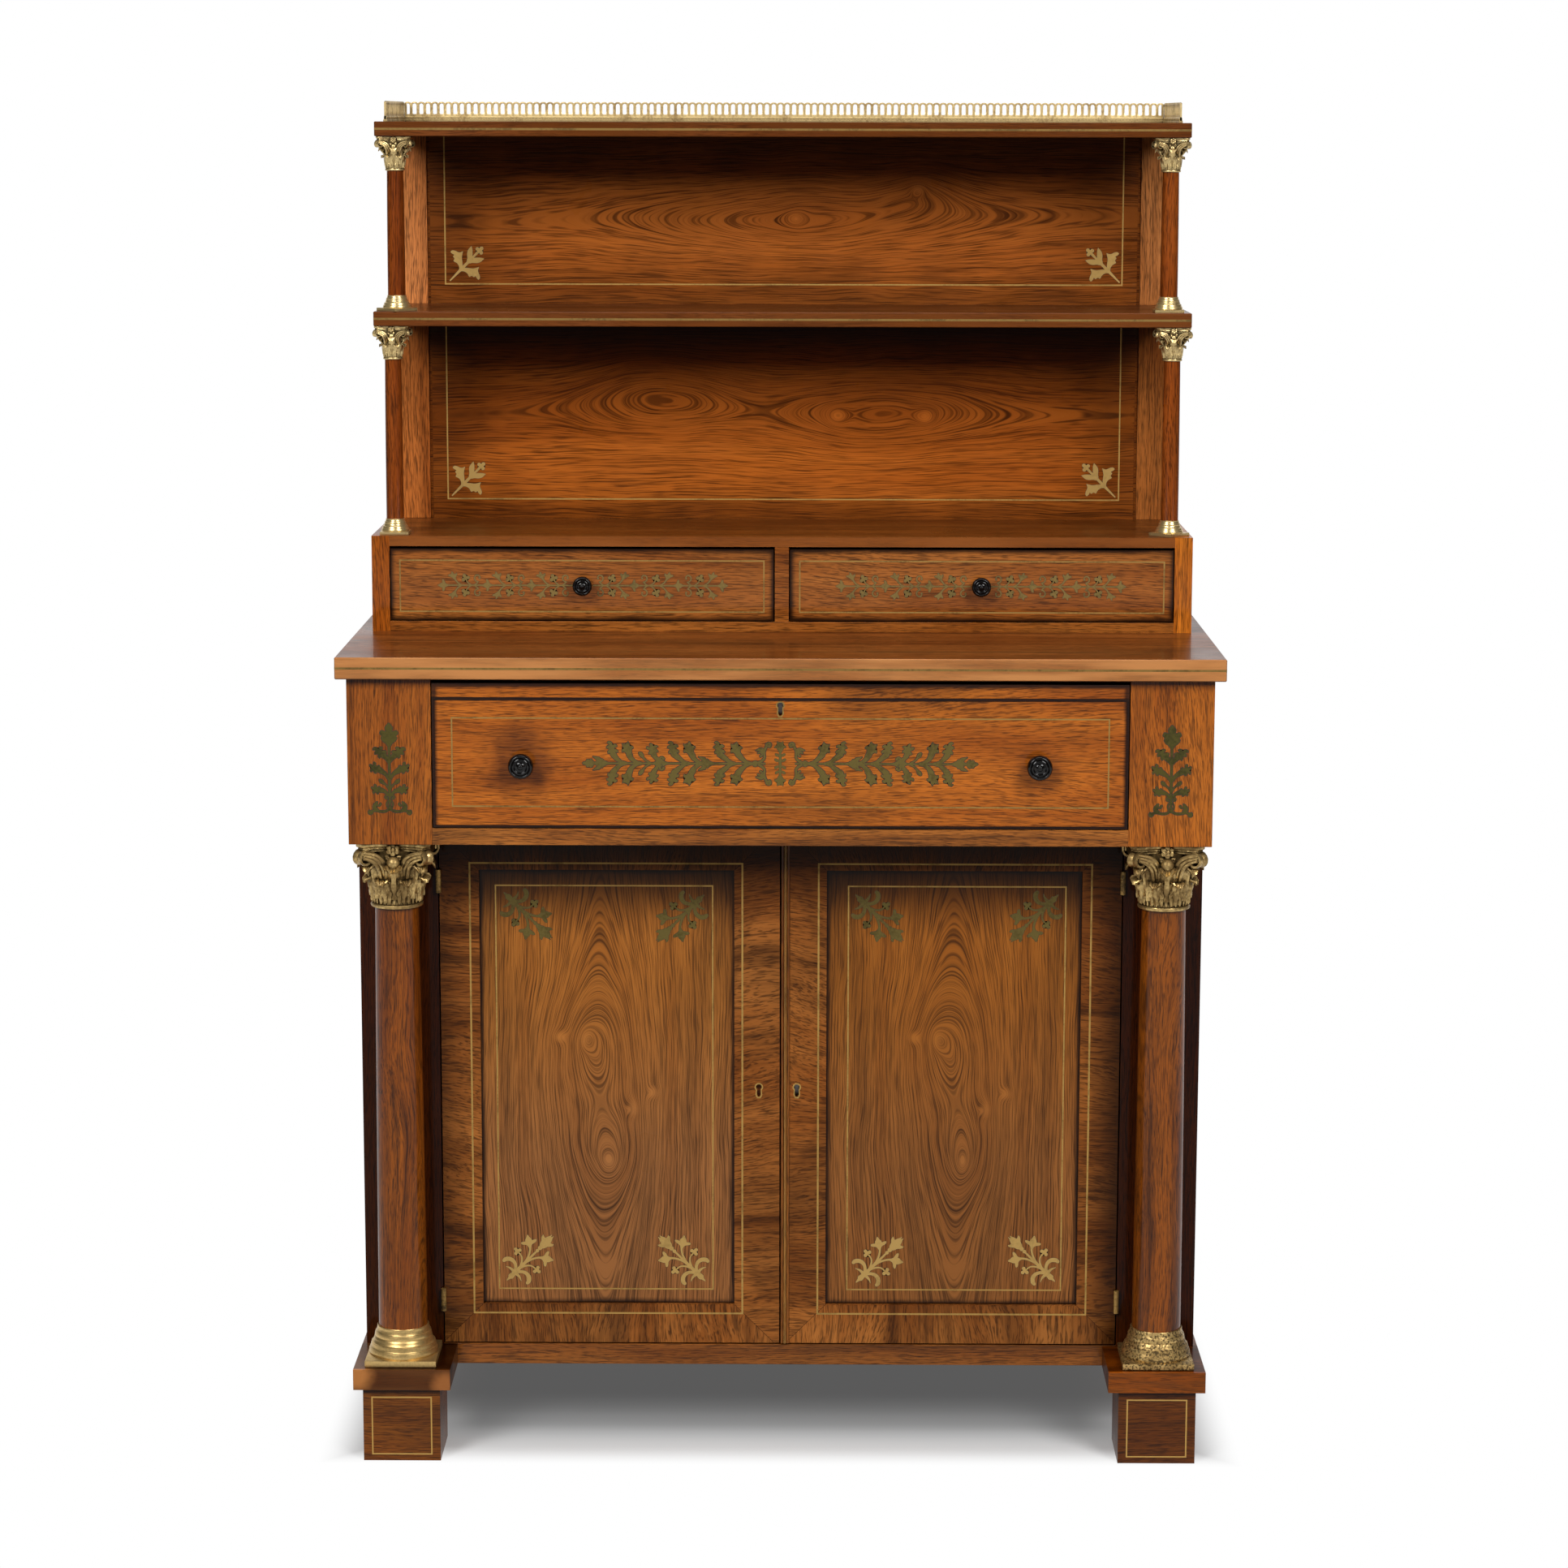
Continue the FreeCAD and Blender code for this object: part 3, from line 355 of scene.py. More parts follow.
def rosewood(name, grain, seed, warp, streaks, tint, eyes=(), ridge=0.0, rings=0.3, calm=0.0,
             polish=None, pale_edge=None, crossband=None, grime=None, stains=(), dusk=(), wash=()):
    """A rosewood finish. tint multiplies its shades and calm brings them closer together.

    pale_edge is (limit, width, shade); crossband is (centre, half) of the field inside it and
    grime adds (reach, depth) to those, dirt and painted shade inside the field's
    edges; stains are (centre, radius, depth, shade), dusk is (axis, clear, full, depth),
    a painted shadow that deepens towards full, and wash is (axis, low, high, first shade,
    last shade)."""
    wood = settings("wood")
    material, g, shader = new_material(name)
    place = g.place()
    heart = None
    if eyes:
        vector, heart = eyed(g, along(g, place, grain, 0.0), ridge, eyes)
        vector = shifted(g, vector, seed)
    elif crossband:
        vector = crossbanded(g, place, crossband, seed)
    else:
        vector = along(g, place, grain, seed)
    shades = [tuple(c * f for c, f in zip(shade, tint))
              for shade in (wood.light, wood.middle, wood.dark)]
    even = [(a + b) / 2 for a, b in zip(shades[0], shades[1])]
    shades[:2] = [tuple(a + (b - a) * calm for a, b in zip(shade, even)) for shade in shades[:2]]
    paint, height = figure(g, vector, warp, streaks, rings, shades)
    if heart is not None:
        paint = g.blend(g.times(heart, 0.45), paint, tuple(min(c * 1.25, 0.9) for c in shades[0]))
    for axis, low, high, first, last in wash:
        level = g.ease(g.axis(place, axis), low, high)
        paint = g.vector("MULTIPLY", paint, g.blend(level, first, last))
    if pale_edge:
        paint = bleached(g, place, paint, *pale_edge)
    for stain in stains:
        paint = stained(g, place, paint, *stain)
    # Dirt and painted shade: the field darkens inside its edges, where its frame, bead or shelf
    # shades it.
    if grime:
        paint = grimed(g, place, paint, [c * 0.45 for c in shades[2]], *grime)
    # Painted shade: darker along an axis where shelves, the frieze or the columns cast shadow.
    for axis, clear, full, depth in dusk:
        value = g.axis(place, axis)
        shadow_amount = (g.ease(value, clear, full, 0.0, depth) if clear < full
                 else g.ease(value, full, clear, depth, 0.0))
        paint = g.blend(shadow_amount, paint, tuple(c * 0.5 for c in shades[2]))
    if crossband:
        paint = mitre_lines(g, place, paint, shades[2], crossband)
    smear = g.noise(place, 14, detail=3)
    wire(g, shader, Base_Color=paint, Roughness=g.ease(smear, 0.2, 0.8, 0.26, 0.42),
               Coat_Weight=wood.polish if polish is None else polish, Coat_Roughness=0.07,
               Specular_IOR_Level=0.06, Normal=bump(g, height, 0.0001, 0.4))
    return material


def stained(g, place, paint, centre, radius, depth, stain=(0.055, 0.012, 0.003)):
    """A soft reddish stain round a place on a front face."""
    away = g.vector("MULTIPLY", g.vector("SUBTRACT", place, (centre[0], 0, centre[1])),
                    (1 / radius, 0, 1 / radius))
    wander = g.noise(place, 30, detail=3)
    reach = g.math("MULTIPLY_ADD", g.less(wander, 0.5), 0.9, g.vector("LENGTH", away))
    return g.blend(g.ease(reach, 0.3, 1.05, depth, 0.0), paint, stain)


def bleached(g, place, paint, limit, width, pale):
    """Sun-faded wood in front of the limit."""
    fade = g.ease(g.axis(place, "Y"), limit, limit + width, 1.0, 0.0)
    patch = g.ease(g.noise(place, (7, 7, 60), detail=3), 0.3, 0.7, 0.35, 0.9)
    return g.blend(g.times(fade, patch), paint, pale)


def grimed(g, place, paint, dark, centres, halves, reach, depth):
    """Dirt and painted shade inside the edges of a field on a front, fading over the reach."""
    inner = [g.less(half, g.math("ABSOLUTE", g.less(g.axis(place, axis), centre)))
             for axis, centre, half in zip("XZ", centres, halves)]
    near = g.math("SMOOTH_MIN", *inner, reach)
    wander = g.noise(place, 16, detail=3)
    near = g.math("MULTIPLY_ADD", g.less(wander, 0.5), reach * 0.9, near)
    return g.blend(g.ease(near, 0.0, reach, depth, 0.0), paint, dark)


def past_field(g, place, band):
    """How far outside a field a place lies: to its right or left, and above or below it."""
    x, _, z = g.split(place)
    return [g.less(g.math("ABSOLUTE", g.less(value, centre)), half)
            for value, centre, half in zip((x, z), *band)]


def crossbanded(g, place, band, seed):
    """Grain running outwards from a field on all four sides, mitred at its corners."""
    chosen = g.node("ShaderNodeMix", data_type="VECTOR")
    for index, value in ((0, g.math("GREATER_THAN", g.less(*past_field(g, place, band)), 0.0)),
                         (4, along(g, place, "Z", seed + 3.7)), (5, along(g, place, "X", seed))):
        g.put(chosen.inputs[index], value)
    return g.vector("MULTIPLY", chosen.outputs[1], (1.0, 0.62, 0.62))


def mitre_lines(g, place, paint, dark, band):
    """The dark mitre joints of the banding, and its sheets' own slightly different shades."""
    beside, above = past_field(g, place, band)
    sheets = g.noise(place, (9, 0, 3.2), detail=0)
    paint = g.blend(g.ease(sheets, 0.48, 0.52, 0.0, 0.28), paint, dark)
    line = g.ease(g.math("ABSOLUTE", g.less(beside, above)), 0.0002, 0.0007, 0.75, 0.0)
    out = g.math("MAXIMUM", beside, above)
    return g.blend(g.times(line, g.ease(out, 0.0, 0.001)), paint, dark)


def plain_wood(name, shade, grain, seed):
    """Unpolished secondary wood."""
    material, g, shader = new_material(name)
    paint, height = figure(g, along(g, g.place(), grain, seed), 0.35, 0.12, 0.15,
                           [[c * f for c in shade] for f in (1.15, 1.0, 0.45)])
    wire(g, shader, Base_Color=paint, Roughness=0.62, Specular_IOR_Level=0.3,
               Normal=bump(g, height, 0.0002, 0.6))
    return material


# ------------------------------------------------------------------ metal and ebony
def brass(name, shade, dull, amount, rough, *, metallic, hollows=0.0, pits=0.0, worn_side=False,
          low=None):
    """Brass with uneven tarnish. hollows darkens what lies deep, by ambient occlusion: tarnish
    there and painted shade too; pits adds a cast skin, worn_side keeps the left-hand casting smooth
    and bright, and low is (height, shade) of brass that is brighter below a height."""
    tarnish = settings("brass").tarnish
    material, g, shader = new_material(name)
    place = g.place()
    wide, close = g.noise(place, 38, detail=4), g.noise(place, 330, detail=3)
    cover = g.add(g.times(wide, 0.65), g.times(close, 0.35))
    side = g.ease(g.axis(place, "X"), -0.1, 0.1) if worn_side else 1.0
    if worn_side:
        cover = g.math("MULTIPLY_ADD", side, 0.27, g.less(cover, 0.17))
    cover = g.ease(cover, 0.62 - 0.35 * amount, 0.85 - 0.35 * amount)
    paint = g.blend(cover, shade, dull)
    # Tarnish and painted shade: ambient occlusion darkens the hollows towards the tarnish colour.
    if hollows:
        depth = g.node("ShaderNodeAmbientOcclusion", samples=8)
        wire(g, depth, Distance=0.006)
        paint = g.blend(g.ease(depth.outputs["AO"], 0.25, 0.95, hollows, 0.0), paint, tarnish)
    if pits:
        spots = g.ease(g.noise(place, 400, detail=3), 0.47, 0.60, 0.0, pits)
        paint = g.blend(g.times(spots, g.math("MULTIPLY_ADD", side, 0.8, 0.2)), paint, tarnish)
    if low:
        paint = g.blend(g.math("LESS_THAN", g.axis(place, "Z"), low[0]), paint, low[1])
    skin = g.times(g.noise(place, 240, detail=4), side)
    wire(g, shader, Base_Color=paint,
               Roughness=g.ease(cover, 0.0, 1.0, rough, min(rough + 0.22, 0.8)),
               Metallic=metallic, Specular_IOR_Level=0.5 if metallic > 0.4 else 0.15,
               Normal=bump(g, skin, 0.0003, 0.25 + pits))
    return material


def ebony():
    material, g, shader = new_material("Ebonised turning")
    fleck = g.noise(g.place(), (180, 30, 180), detail=3)
    wire(g, shader, Roughness=g.ease(fleck, 0.3, 0.8, 0.07, 0.14), Coat_Weight=0.3,
               Coat_Roughness=0.04, Specular_IOR_Level=0.12, Base_Color=g.blend(
                   g.ease(fleck, 0.5, 0.8), (0.0035, 0.003, 0.003), (0.010, 0.007, 0.005)))
    return material


def mastic():
    material, g, shader = new_material("Dark mastic round the inlay")
    speck = g.noise(g.place(), 400, detail=2)
    wire(g, shader, Roughness=0.5,
               Base_Color=g.blend(speck, (0.012, 0.006, 0.003), (0.04, 0.016, 0.006)))
    return material


def filed_steel():
    material, g, shader = new_material("Filed steel")
    lines = g.noise(g.place(), (60, 500, 900), detail=3)
    wire(g, shader, Base_Color=g.blend(lines, (0.10, 0.095, 0.09), (0.24, 0.225, 0.21)),
               Roughness=g.ease(lines, 0.2, 0.8, 0.3, 0.5), Metallic=1.0)
    return material


# ------------------------------------------------------------------ meshes
def new_object(name, data):
    made = bpy.data.objects.new(name, data)
    bpy.context.scene.collection.objects.link(made)
    return made


def put_piece(name, mesh, material, body, replaced=()):
    """Links a finished mesh as a piece that rides on a body."""
    piece = new_object(name, mesh)
    mesh.materials.clear()
    mesh.materials.append(material)
    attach(piece, body)
    if replaced:
        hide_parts(*replaced)


def finish_mesh(bm, name, smooth_angle=32.0):
    """Merges doubles, turns faces outwards and smooths all but sharp edges."""
    bmesh.ops.remove_doubles(bm, verts=bm.verts, dist=1e-6)
    bmesh.ops.recalc_face_normals(bm, faces=bm.faces)
    for face in bm.faces:
        face.smooth = True
    limit = radians(smooth_angle)
    for edge in bm.edges:
        edge.smooth = len(edge.link_faces) == 2 and edge.calc_face_angle(0.0) < limit
    mesh = bpy.data.meshes.new(name)
    bm.to_mesh(mesh)
    bm.free()
    return mesh


def add_lathe(bm, profile, steps, matrix=SAME):
    """A turned solid about local Z out of (radius, height) pairs from axis to axis."""
    rings = []
    for r, h in profile:
        ring = [(0, 0, h)] if r < 1e-7 else [
            (r * cos(angle), r * sin(angle), h)
            for angle in (2 * pi * k / steps for k in range(steps))]
        rings.append([bm.verts.new(matrix @ Vector(place)) for place in ring])
    for low, high in zip(rings, rings[1:]):
        for k in range(steps):
            n = (k + 1) % steps
            ring = [low[k % len(low)], low[n % len(low)], high[n % len(high)], high[k % len(high)]]
            corners = [v for i, v in enumerate(ring) if v is not ring[i - 1]]
            if len(corners) > 2:
                bm.faces.new(corners)


def add_prism(bm, outline, front, back, lift):
    """A closed plate out of a flat outline, between two depths."""
    near = [bm.verts.new(lift(a, b, front)) for a, b in outline]
    far = [bm.verts.new(lift(a, b, back)) for a, b in outline]
    bm.faces.new(near)
    bm.faces.new(far[::-1])
    count = len(outline)
    for k in range(count):
        n = (k + 1) % count
        bm.faces.new([near[k], far[k], far[n], near[n]])


def add_box(bm, low, high, matrix=SAME):
    corners = [(low[0], low[1]), (high[0], low[1]), (high[0], high[1]), (low[0], high[1])]
    add_prism(bm, corners, low[2], high[2], lambda a, b, d: matrix @ Vector((a, b, d)))


def arc(cx, cy, r, start, end, count):
    """Points of an arc, angles in degrees."""
    out = []
    for k in range(count + 1):
        angle = radians(start + (end - start) * k / count)
        out.append((cx + r * cos(angle), cy + r * sin(angle)))
    return out


def rounded(outline, rounds=2):
    """Corner cutting that turns a given polygon into a soft outline with keen tips."""
    for _ in range(rounds):
        cut = []
        points = [Vector(p) for p in outline]
        for k, here in enumerate(points):
            a, b = points[k - 1], points[(k + 1) % len(points)]
            keen = 0.06 if (a - here).angle(b - here) < 1.25 else 0.22
            cut += [tuple(here.lerp(a, keen)), tuple(here.lerp(b, keen))]
        outline = cut
    return outline


def spline(points, count):
    """A smooth line through the points."""
    points = [Vector(p) for p in points]
    ends = [points[0] * 2 - points[1]] + points + [points[-1] * 2 - points[-2]]
    out = []
    for k in range(1, len(ends) - 2):
        a, b, c, d = ends[k - 1:k + 3]
        for step in range(count):
            t = step / count
            out.append(0.5 * ((2 * b) + (c - a) * t + (2 * a - 5 * b + 4 * c - d) * t * t
                              + (3 * b - 3 * c + d - a) * t ** 3))
    return out + [points[-1]]


def between(values, t):
    """The value at t, from 0 to 1, along evenly spaced values."""
    at = t * (len(values) - 1)
    i = min(int(at), len(values) - 2)
    return values[i] + (values[i + 1] - values[i]) * (at - i)


def heading(line, k):
    """The direction of a line at its point k."""
    return (line[min(k + 1, len(line) - 1)] - line[max(k - 1, 0)]).normalized()


def stalk(points, widths, count=6):
    """Outline of a tapering stroke along a smooth line, with a round end. widths are halves."""
    line = spline(points, count)
    last = len(line) - 1
    left, right = [], []
    for k, p in enumerate(line):
        way, half = heading(line, k), between(widths, k / last)
        side = Vector((-way.y, way.x))
        left.append(tuple(p + side * half))
        right.append(tuple(p - side * half))
    left += [tuple(p + side * half * cos(a) + way * half * sin(a))
             for a in (0.6, 1.2, 1.57, 1.94, 2.54)]
    return left + right[::-1]


# ------------------------------------------------------------------ things that repeat
def repeat_tree(name, rotate):
    """A Geometry Nodes tree that repeats its own mesh in a row or in a ring about Z."""
    if name in bpy.data.node_groups:
        return bpy.data.node_groups[name]
    tree, g, given = node_group(
        name, "GeometryNodeTree",
        {"Geometry": "Geometry", "Count": "Int", "Spacing": "Vector", "Start": "Float",
         "Finish": "Material"}, {"Geometry": "Geometry"})
    line = g.node("GeometryNodeMeshLine", mode="OFFSET")
    wire(g, line, Count=given["Count"], Offset=(0, 0, 0) if rotate else given["Spacing"])
    copies = g.node("GeometryNodeInstanceOnPoints")
    wire(g, copies, Points=line.outputs[0], Instance=given["Geometry"])
    if rotate:
        index = g.node("GeometryNodeInputIndex").outputs[0]
        turn = g.math("DIVIDE", g.times(index, 2 * pi), given["Count"])
        wire(g, copies, Rotation=g.join(0.0, 0.0, g.add(turn, given["Start"])))
    real = g.node("GeometryNodeRealizeInstances")
    g.put(real.inputs[0], copies.outputs[0])
    paint = g.node("GeometryNodeSetMaterial")
    wire(g, paint, Geometry=real.outputs[0], Material=given["Finish"])
    g.put(g.node("NodeGroupOutput").inputs[0], paint.outputs[0])
    return tree


def repeated(mesh, count, finish, spacing=(0, 0, 0), start=0.0, ring=False):
    """The mesh repeated along a line, or in a ring about Z, as one plain mesh."""
    holder = new_object("repeat_holder", mesh)
    modifier = holder.modifiers.new("Repeat", "NODES")
    tree = repeat_tree("Ring of copies" if ring else "Row of copies", ring)
    modifier.node_group = tree
    places = {item.name: item.identifier for item in tree.interface.items_tree
              if item.in_out == "INPUT"}
    for label, value in (("Count", count), ("Spacing", spacing), ("Start", start),
                         ("Finish", finish)):
        modifier[places[label]] = value
    bpy.context.view_layer.update()
    graph = bpy.context.evaluated_depsgraph_get()
    made = bpy.data.meshes.new_from_object(holder.evaluated_get(graph), depsgraph=graph)
    bpy.data.objects.remove(holder)
    return made


def take(bm, mesh, matrix=SAME):
    """Adds a plain mesh to a bmesh, moved by the matrix."""
    start = len(bm.verts)
    bm.from_mesh(mesh)
    bm.verts.ensure_lookup_table()
    bmesh.ops.transform(bm, matrix=matrix, verts=bm.verts[start:])


# ------------------------------------------------------------------ foliate brass
def mirrored_shape(outline):
    return [(a, -b) for a, b in outline][::-1]


def moved(outline, x, y, turn, scale=1.0, slim=1.0):
    """An outline made slimmer, scaled, turned by degrees and moved."""
    c, s = cos(radians(turn)), sin(radians(turn))
    out = []
    for a, b in outline:
        a, b = a * scale, b * slim * scale
        out.append((x + a * c - b * s, y + a * s + b * c))
    return out


def soft_pair(half, tip=None):
    """A soft outline, alike on both sides of +x, out of one side's points and its tip."""
    middle = [] if tip is None else [(tip, 0.0)]
    return rounded(half + middle + mirrored_shape(half))


def unit_leaf(points):
    """A soft outline out of points in hundredths."""
    return rounded([(a / 100, b / 100) for a, b in points])


def unit_pair(half, tip):
    """A soft outline, alike on both sides of +x, out of points in hundredths."""
    return soft_pair([(a / 100, b / 100) for a, b in half], tip / 100)


SLIM = 0.72  # how much narrower the leaves of the frieze and the posts are

# Heads grow along +x from the origin, one unit long.
TULIP_HEAD = unit_leaf([
    (-10, 7), (12, 13), (25, 26), (28, 42), (36, 60), (50, 62), (53, 42), (50, 26), (64, 25),
    (80, 14), (100, 4), (97, -5), (78, -12), (66, -24), (50, -25), (55, -42), (54, -62),
    (40, -60), (28, -42), (24, -26), (12, -13), (-10, -7)])
CLOVER_HEAD = rounded(
    [(-0.1, 0.10), (0.28, 0.10)] + arc(0.36, 0.34, 0.25, 215, 0, 6) + [(0.60, 0.20)]
    + arc(0.80, 0.0, 0.25, 120, -120, 7) + [(0.60, -0.20)] + arc(0.36, -0.34, 0.25, 0, -215, 6)
    + [(0.28, -0.10), (-0.1, -0.10)], 1)
LILY_HEAD = unit_pair([
    (-8, 5), (5, 14), (16, 24), (30, 32), (42, 46), (36, 56), (46, 60), (62, 46), (58, 30),
    (74, 34), (98, 30), (86, 16), (92, 6)], 80)
HOOKED_LEAF = unit_leaf([
    (-12, 8), (8, 16), (16, 32), (2, 46), (10, 60), (30, 54), (40, 36), (48, 50), (42, 72),
    (58, 76), (72, 58), (68, 38), (86, 46), (102, 38), (110, 18), (100, 0), (92, 14), (80, 10),
    (84, -10), (74, -30), (62, -14), (50, -12), (46, -36), (28, -42), (28, -20), (12, -12),
    (-12, -8)])
FAN_LEAF = unit_leaf([
    (-10, 8), (16, 14), (26, 34), (16, 54), (34, 60), (50, 42), (60, 56), (58, 74), (74, 66),
    (78, 42), (74, 26), (92, 28), (106, 12), (100, -6), (82, -2), (74, -14), (90, -30), (86, -50),
    (68, -46), (60, -26), (46, -22), (42, -46), (26, -46), (22, -22), (-10, -8)])
ARROW_LEAF = unit_pair([
    (-50, 6), (-10, 8), (6, 20), (20, 28), (26, 44), (40, 40), (44, 56), (62, 60), (92, 66),
    (80, 48), (66, 34), (62, 20), (78, 10)], 80)
FLOWER_TIP = unit_pair([
    (-10, 10), (10, 12), (20, 40), (36, 50), (44, 34), (56, 46), (70, 34), (68, 20), (88, 16)], 100)
BUD = unit_leaf([
    (-10, 6), (20, 8), (45, 22), (75, 24), (100, 8), (100, -8), (75, -22), (45, -20), (20, -8),
    (-10, -6)])
SPLIT_LEAF = unit_leaf([
    (-10, 6), (20, 10), (34, 30), (40, 52), (58, 60), (56, 40), (62, 24), (84, 28), (100, 20),
    (86, 8), (80, -6), (92, -24), (86, -42), (70, -30), (52, -20), (30, -12), (-10, -6)])


def dot(x, y, radius, sides=11):
    return arc(x, y, radius, 0, 330, sides)


def curl(x, y, radius, start, sweep, thick, shrink=0.35):
    """A scroll that winds inwards to a small round eye. Angles in degrees."""
    line = []
    for k in range(14):
        t = k / 13
        r = radius * (1 - (1 - shrink) * t)
        angle = radians(start + sweep * t)
        line.append((x + r * cos(angle), y + r * sin(angle)))
    return [stalk(line, [thick, thick, thick * 0.7], 3), dot(*line[-1], thick * 1.5)]


def both_sides(shapes):
    return shapes + [mirrored_shape(s) for s in shapes]


def both_ends(shapes):
    return shapes + [[(-a, b) for a, b in s][::-1] for s in shapes]


def door_spray():
    """A spray of 74 mm along +x from its root, alike on both sides of its stem."""
    stem = [stalk([(0, 0), (8, 0), (18, 0)], [0.5, 1.5, 3.2, 2.4, 1.6]),
            stalk([(14, 0), (30, 0), (46, 0), (49, 0)], [2.2, 1.3, 0.8]),
            dot(49.5, 0, 2.1, 10), dot(54.0, 0, 2.6, 10)]
    bell = soft_pair([(55, 2.2), (58, 4.2), (61, 4.8), (63, 7.0), (65.5, 8.6), (68, 8.4),
                      (67.0, 6.4), (66.2, 4.2), (69, 3.6), (72, 2.0), (75, 1.4)], 71.5)
    barb = rounded([(4, 1.0), (6, 3.4), (9, 3.0), (11, 1.0), (8, -0.5)], 1)
    side = [
        barb,
        stalk([(13, 1), (13.4, 5), (12.8, 8.6), (11.2, 12)], [2.0, 1.3, 0.35]),
        stalk([(15, 1.0), (19.5, 5), (21.6, 10), (20.6, 15), (17.2, 18.2), (14.6, 18.6)],
              [1.7, 1.8, 2.3, 2.5, 2.0]),
        stalk([(22, 0.5), (27.5, 3.2), (31.5, 7.0), (33.0, 11.5)], [1.3, 0.95, 0.8]),
        moved(CLOVER_HEAD, 32.6, 11.6, 84, 8.6),
        stalk([(24, 0), (32, 0.8), (39, 3.2), (44, 6.2), (47.5, 9.6)], [1.5, 1.2, 1.1, 1.3]),
        moved(TULIP_HEAD, 46.4, 8.6, 56, 15.0)]
    return stem + [bell] + both_sides(side)


def shelf_spray():
    """A spray of 56 mm along +x from its root, for the corners of the shelf backs."""
    middle = [stalk([(0, 0), (12, 0), (22, 0)], [0.7, 1.3, 1.9]),
              stalk([(20, 0), (29, 0), (34, 0)], [1.7, 1.6, 2.6]),
              stalk([(34, 0), (40, 0), (47, 0)], [2.4, 1.2, 1.6]),
              moved(CLOVER_HEAD, 45.6, 0, 0, 9.0)]
    leaf = rounded([(16.5, 1.0), (22.3, 1.0), (25.6, 4.6), (29.2, 9.4), (35.4, 13.0), (31.6, 14.6),
                    (30.2, 16.8), (29.4, 19.6), (27.2, 22.8), (24.2, 23.0), (24.2, 20.0),
                    (25.2, 17.2), (22.4, 17.2), (22.4, 13.8), (18.8, 13.2), (20.6, 8.6),
                    (19.6, 4.0)])
    upper = rounded([(30, 0), (30.5, 2.6), (33.0, 3.6), (36.6, 8.0), (40.4, 10.2), (46.6, 10.4),
                     (44.6, 6.8), (42.0, 4.2), (40.0, 2.2), (37.4, 0.6), (34, 0)])
    return middle + both_sides([leaf, upper])


def post_spray():
    """An upright spray of 100 mm along +x from its foot line, alike on both sides."""
    middle = [stalk([(4, 0), (30, 0), (62, 0), (84, 0)], [0.9, 1.3, 1.1, 1.3]),
              soft_pair([(74, 1.2), (78, 3.4), (80, 6.6), (84, 9.2), (86, 7.0), (89, 10.6),
                         (92.5, 8.4), (91.5, 5.2), (90.6, 2.0)]),
              soft_pair([(89, 1.2), (92, 3.6), (95.5, 4.4), (98, 2.4)], 101)]
    side = [
        stalk([(57, 0.5), (61, 2.4), (65.5, 6.4)], [1.0, 2.0, 3.2]),
        moved(mirrored_shape(HOOKED_LEAF)[::-1], 63.5, 4.6, 62, 14.5, SLIM),
        stalk([(38, 0.5), (44, 4.0), (47.5, 8.6), (49.6, 12.0)], [1.0, 1.7, 2.6, 3.2]),
        moved(FAN_LEAF, 47.8, 9.6, 56, 13.0, SLIM),
        stalk([(27, 0.4), (31, 2.6), (34, 5.4)], [0.8, 0.8]),
        moved(BUD, 32.8, 4.6, 48, 8.6),
        stalk([(20, 0.4), (25, 5.0), (27.0, 10.5)], [1.0, 1.6, 2.8]),
        moved(FAN_LEAF, 25.8, 8.6, 68, 11.4, SLIM),
        *curl(18.6, 3.2, 2.6, -60, 250, 0.8),
        stalk([(6.5, 0.2), (3.6, 4.5), (3.2, 10), (4.2, 16), (2.8, 21)], [0.9, 1.2, 1.1, 1.3]),
        *curl(1.9, 20.8, 2.6, 20, 230, 0.9),
        stalk([(3.6, 13), (8, 16.6), (12.4, 15.0)], [1.6, 2.4, 1.2]),
        *curl(11.6, 11.4, 3.2, 40, 230, 0.8),
        stalk([(6, 0), (9, 3.0), (13, 3.0), (16, 0.6)], [0.7, 0.6])]
    return middle + both_sides(side)


def frieze_half():
    """The right half of the frieze band, 214 mm along +x, alike above and below."""
    middle = [stalk([(16, 0), (60, 0), (120, 0), (190, 0)], [0.9, 1.0, 0.9, 0.9]),
              moved(FLOWER_TIP, 200.5, 0, 0, 14.0, SLIM),
              *(moved(ARROW_LEAF, x, 0, 0, 16.5, SLIM) for x in (188.0, 124.0, 74.0)),
              dot(27.0, 0, 3.4, 10)]
    side = []
    for x, head, size, root, lean in (
            (182.5, HOOKED_LEAF, 15.0, 166.0, 62), (165.0, LILY_HEAD, 15.5, 150.0, 70),
            (116.5, HOOKED_LEAF, 15.0, 98.0, 62), (97.5, LILY_HEAD, 16.0, 82.0, 66),
            (67.0, HOOKED_LEAF, 15.0, 48.0, 64), (47.0, LILY_HEAD, 15.5, 30.0, 68)):
        side.append(stalk([(root, 0.3), (root + 6, 1.6), (root + 11, 5.2), (x - 1.5, 10.2)],
                          [1.0, 1.9, 3.2]))
        side.append(moved(head, x - 2.2, 8.8, lean, size, SLIM))
    for x in (148.0, 92.0):
        side.append(stalk([(x - 8, 0.3), (x - 3, 3.0), (x, 6.0)], [0.8, 0.9]))
        side.append(moved(BUD, x - 1, 5.0, 52, 9.5))
    side += [stalk([(130, 0.3), (134, 5), (137, 10)], [1.0, 1.7, 2.8]),
             moved(FAN_LEAF, 136.4, 8.0, 70, 14.0, SLIM),
             *curl(127.5, 5.0, 3.4, -80, 250, 1.0),
             stalk([(24, 0.5), (17.5, 5.5), (17.2, 13.5), (14.2, 20.5)], [1.4, 1.2, 1.4]),
             *curl(12.0, 20.2, 3.0, 0, 250, 1.2),
             stalk([(17, 13), (21, 15.5), (26, 14.6)], [2.2, 2.0, 0.6]),
             *curl(21.5, 9.6, 3.4, 30, 220, 0.9)]
    return middle + both_sides(side)


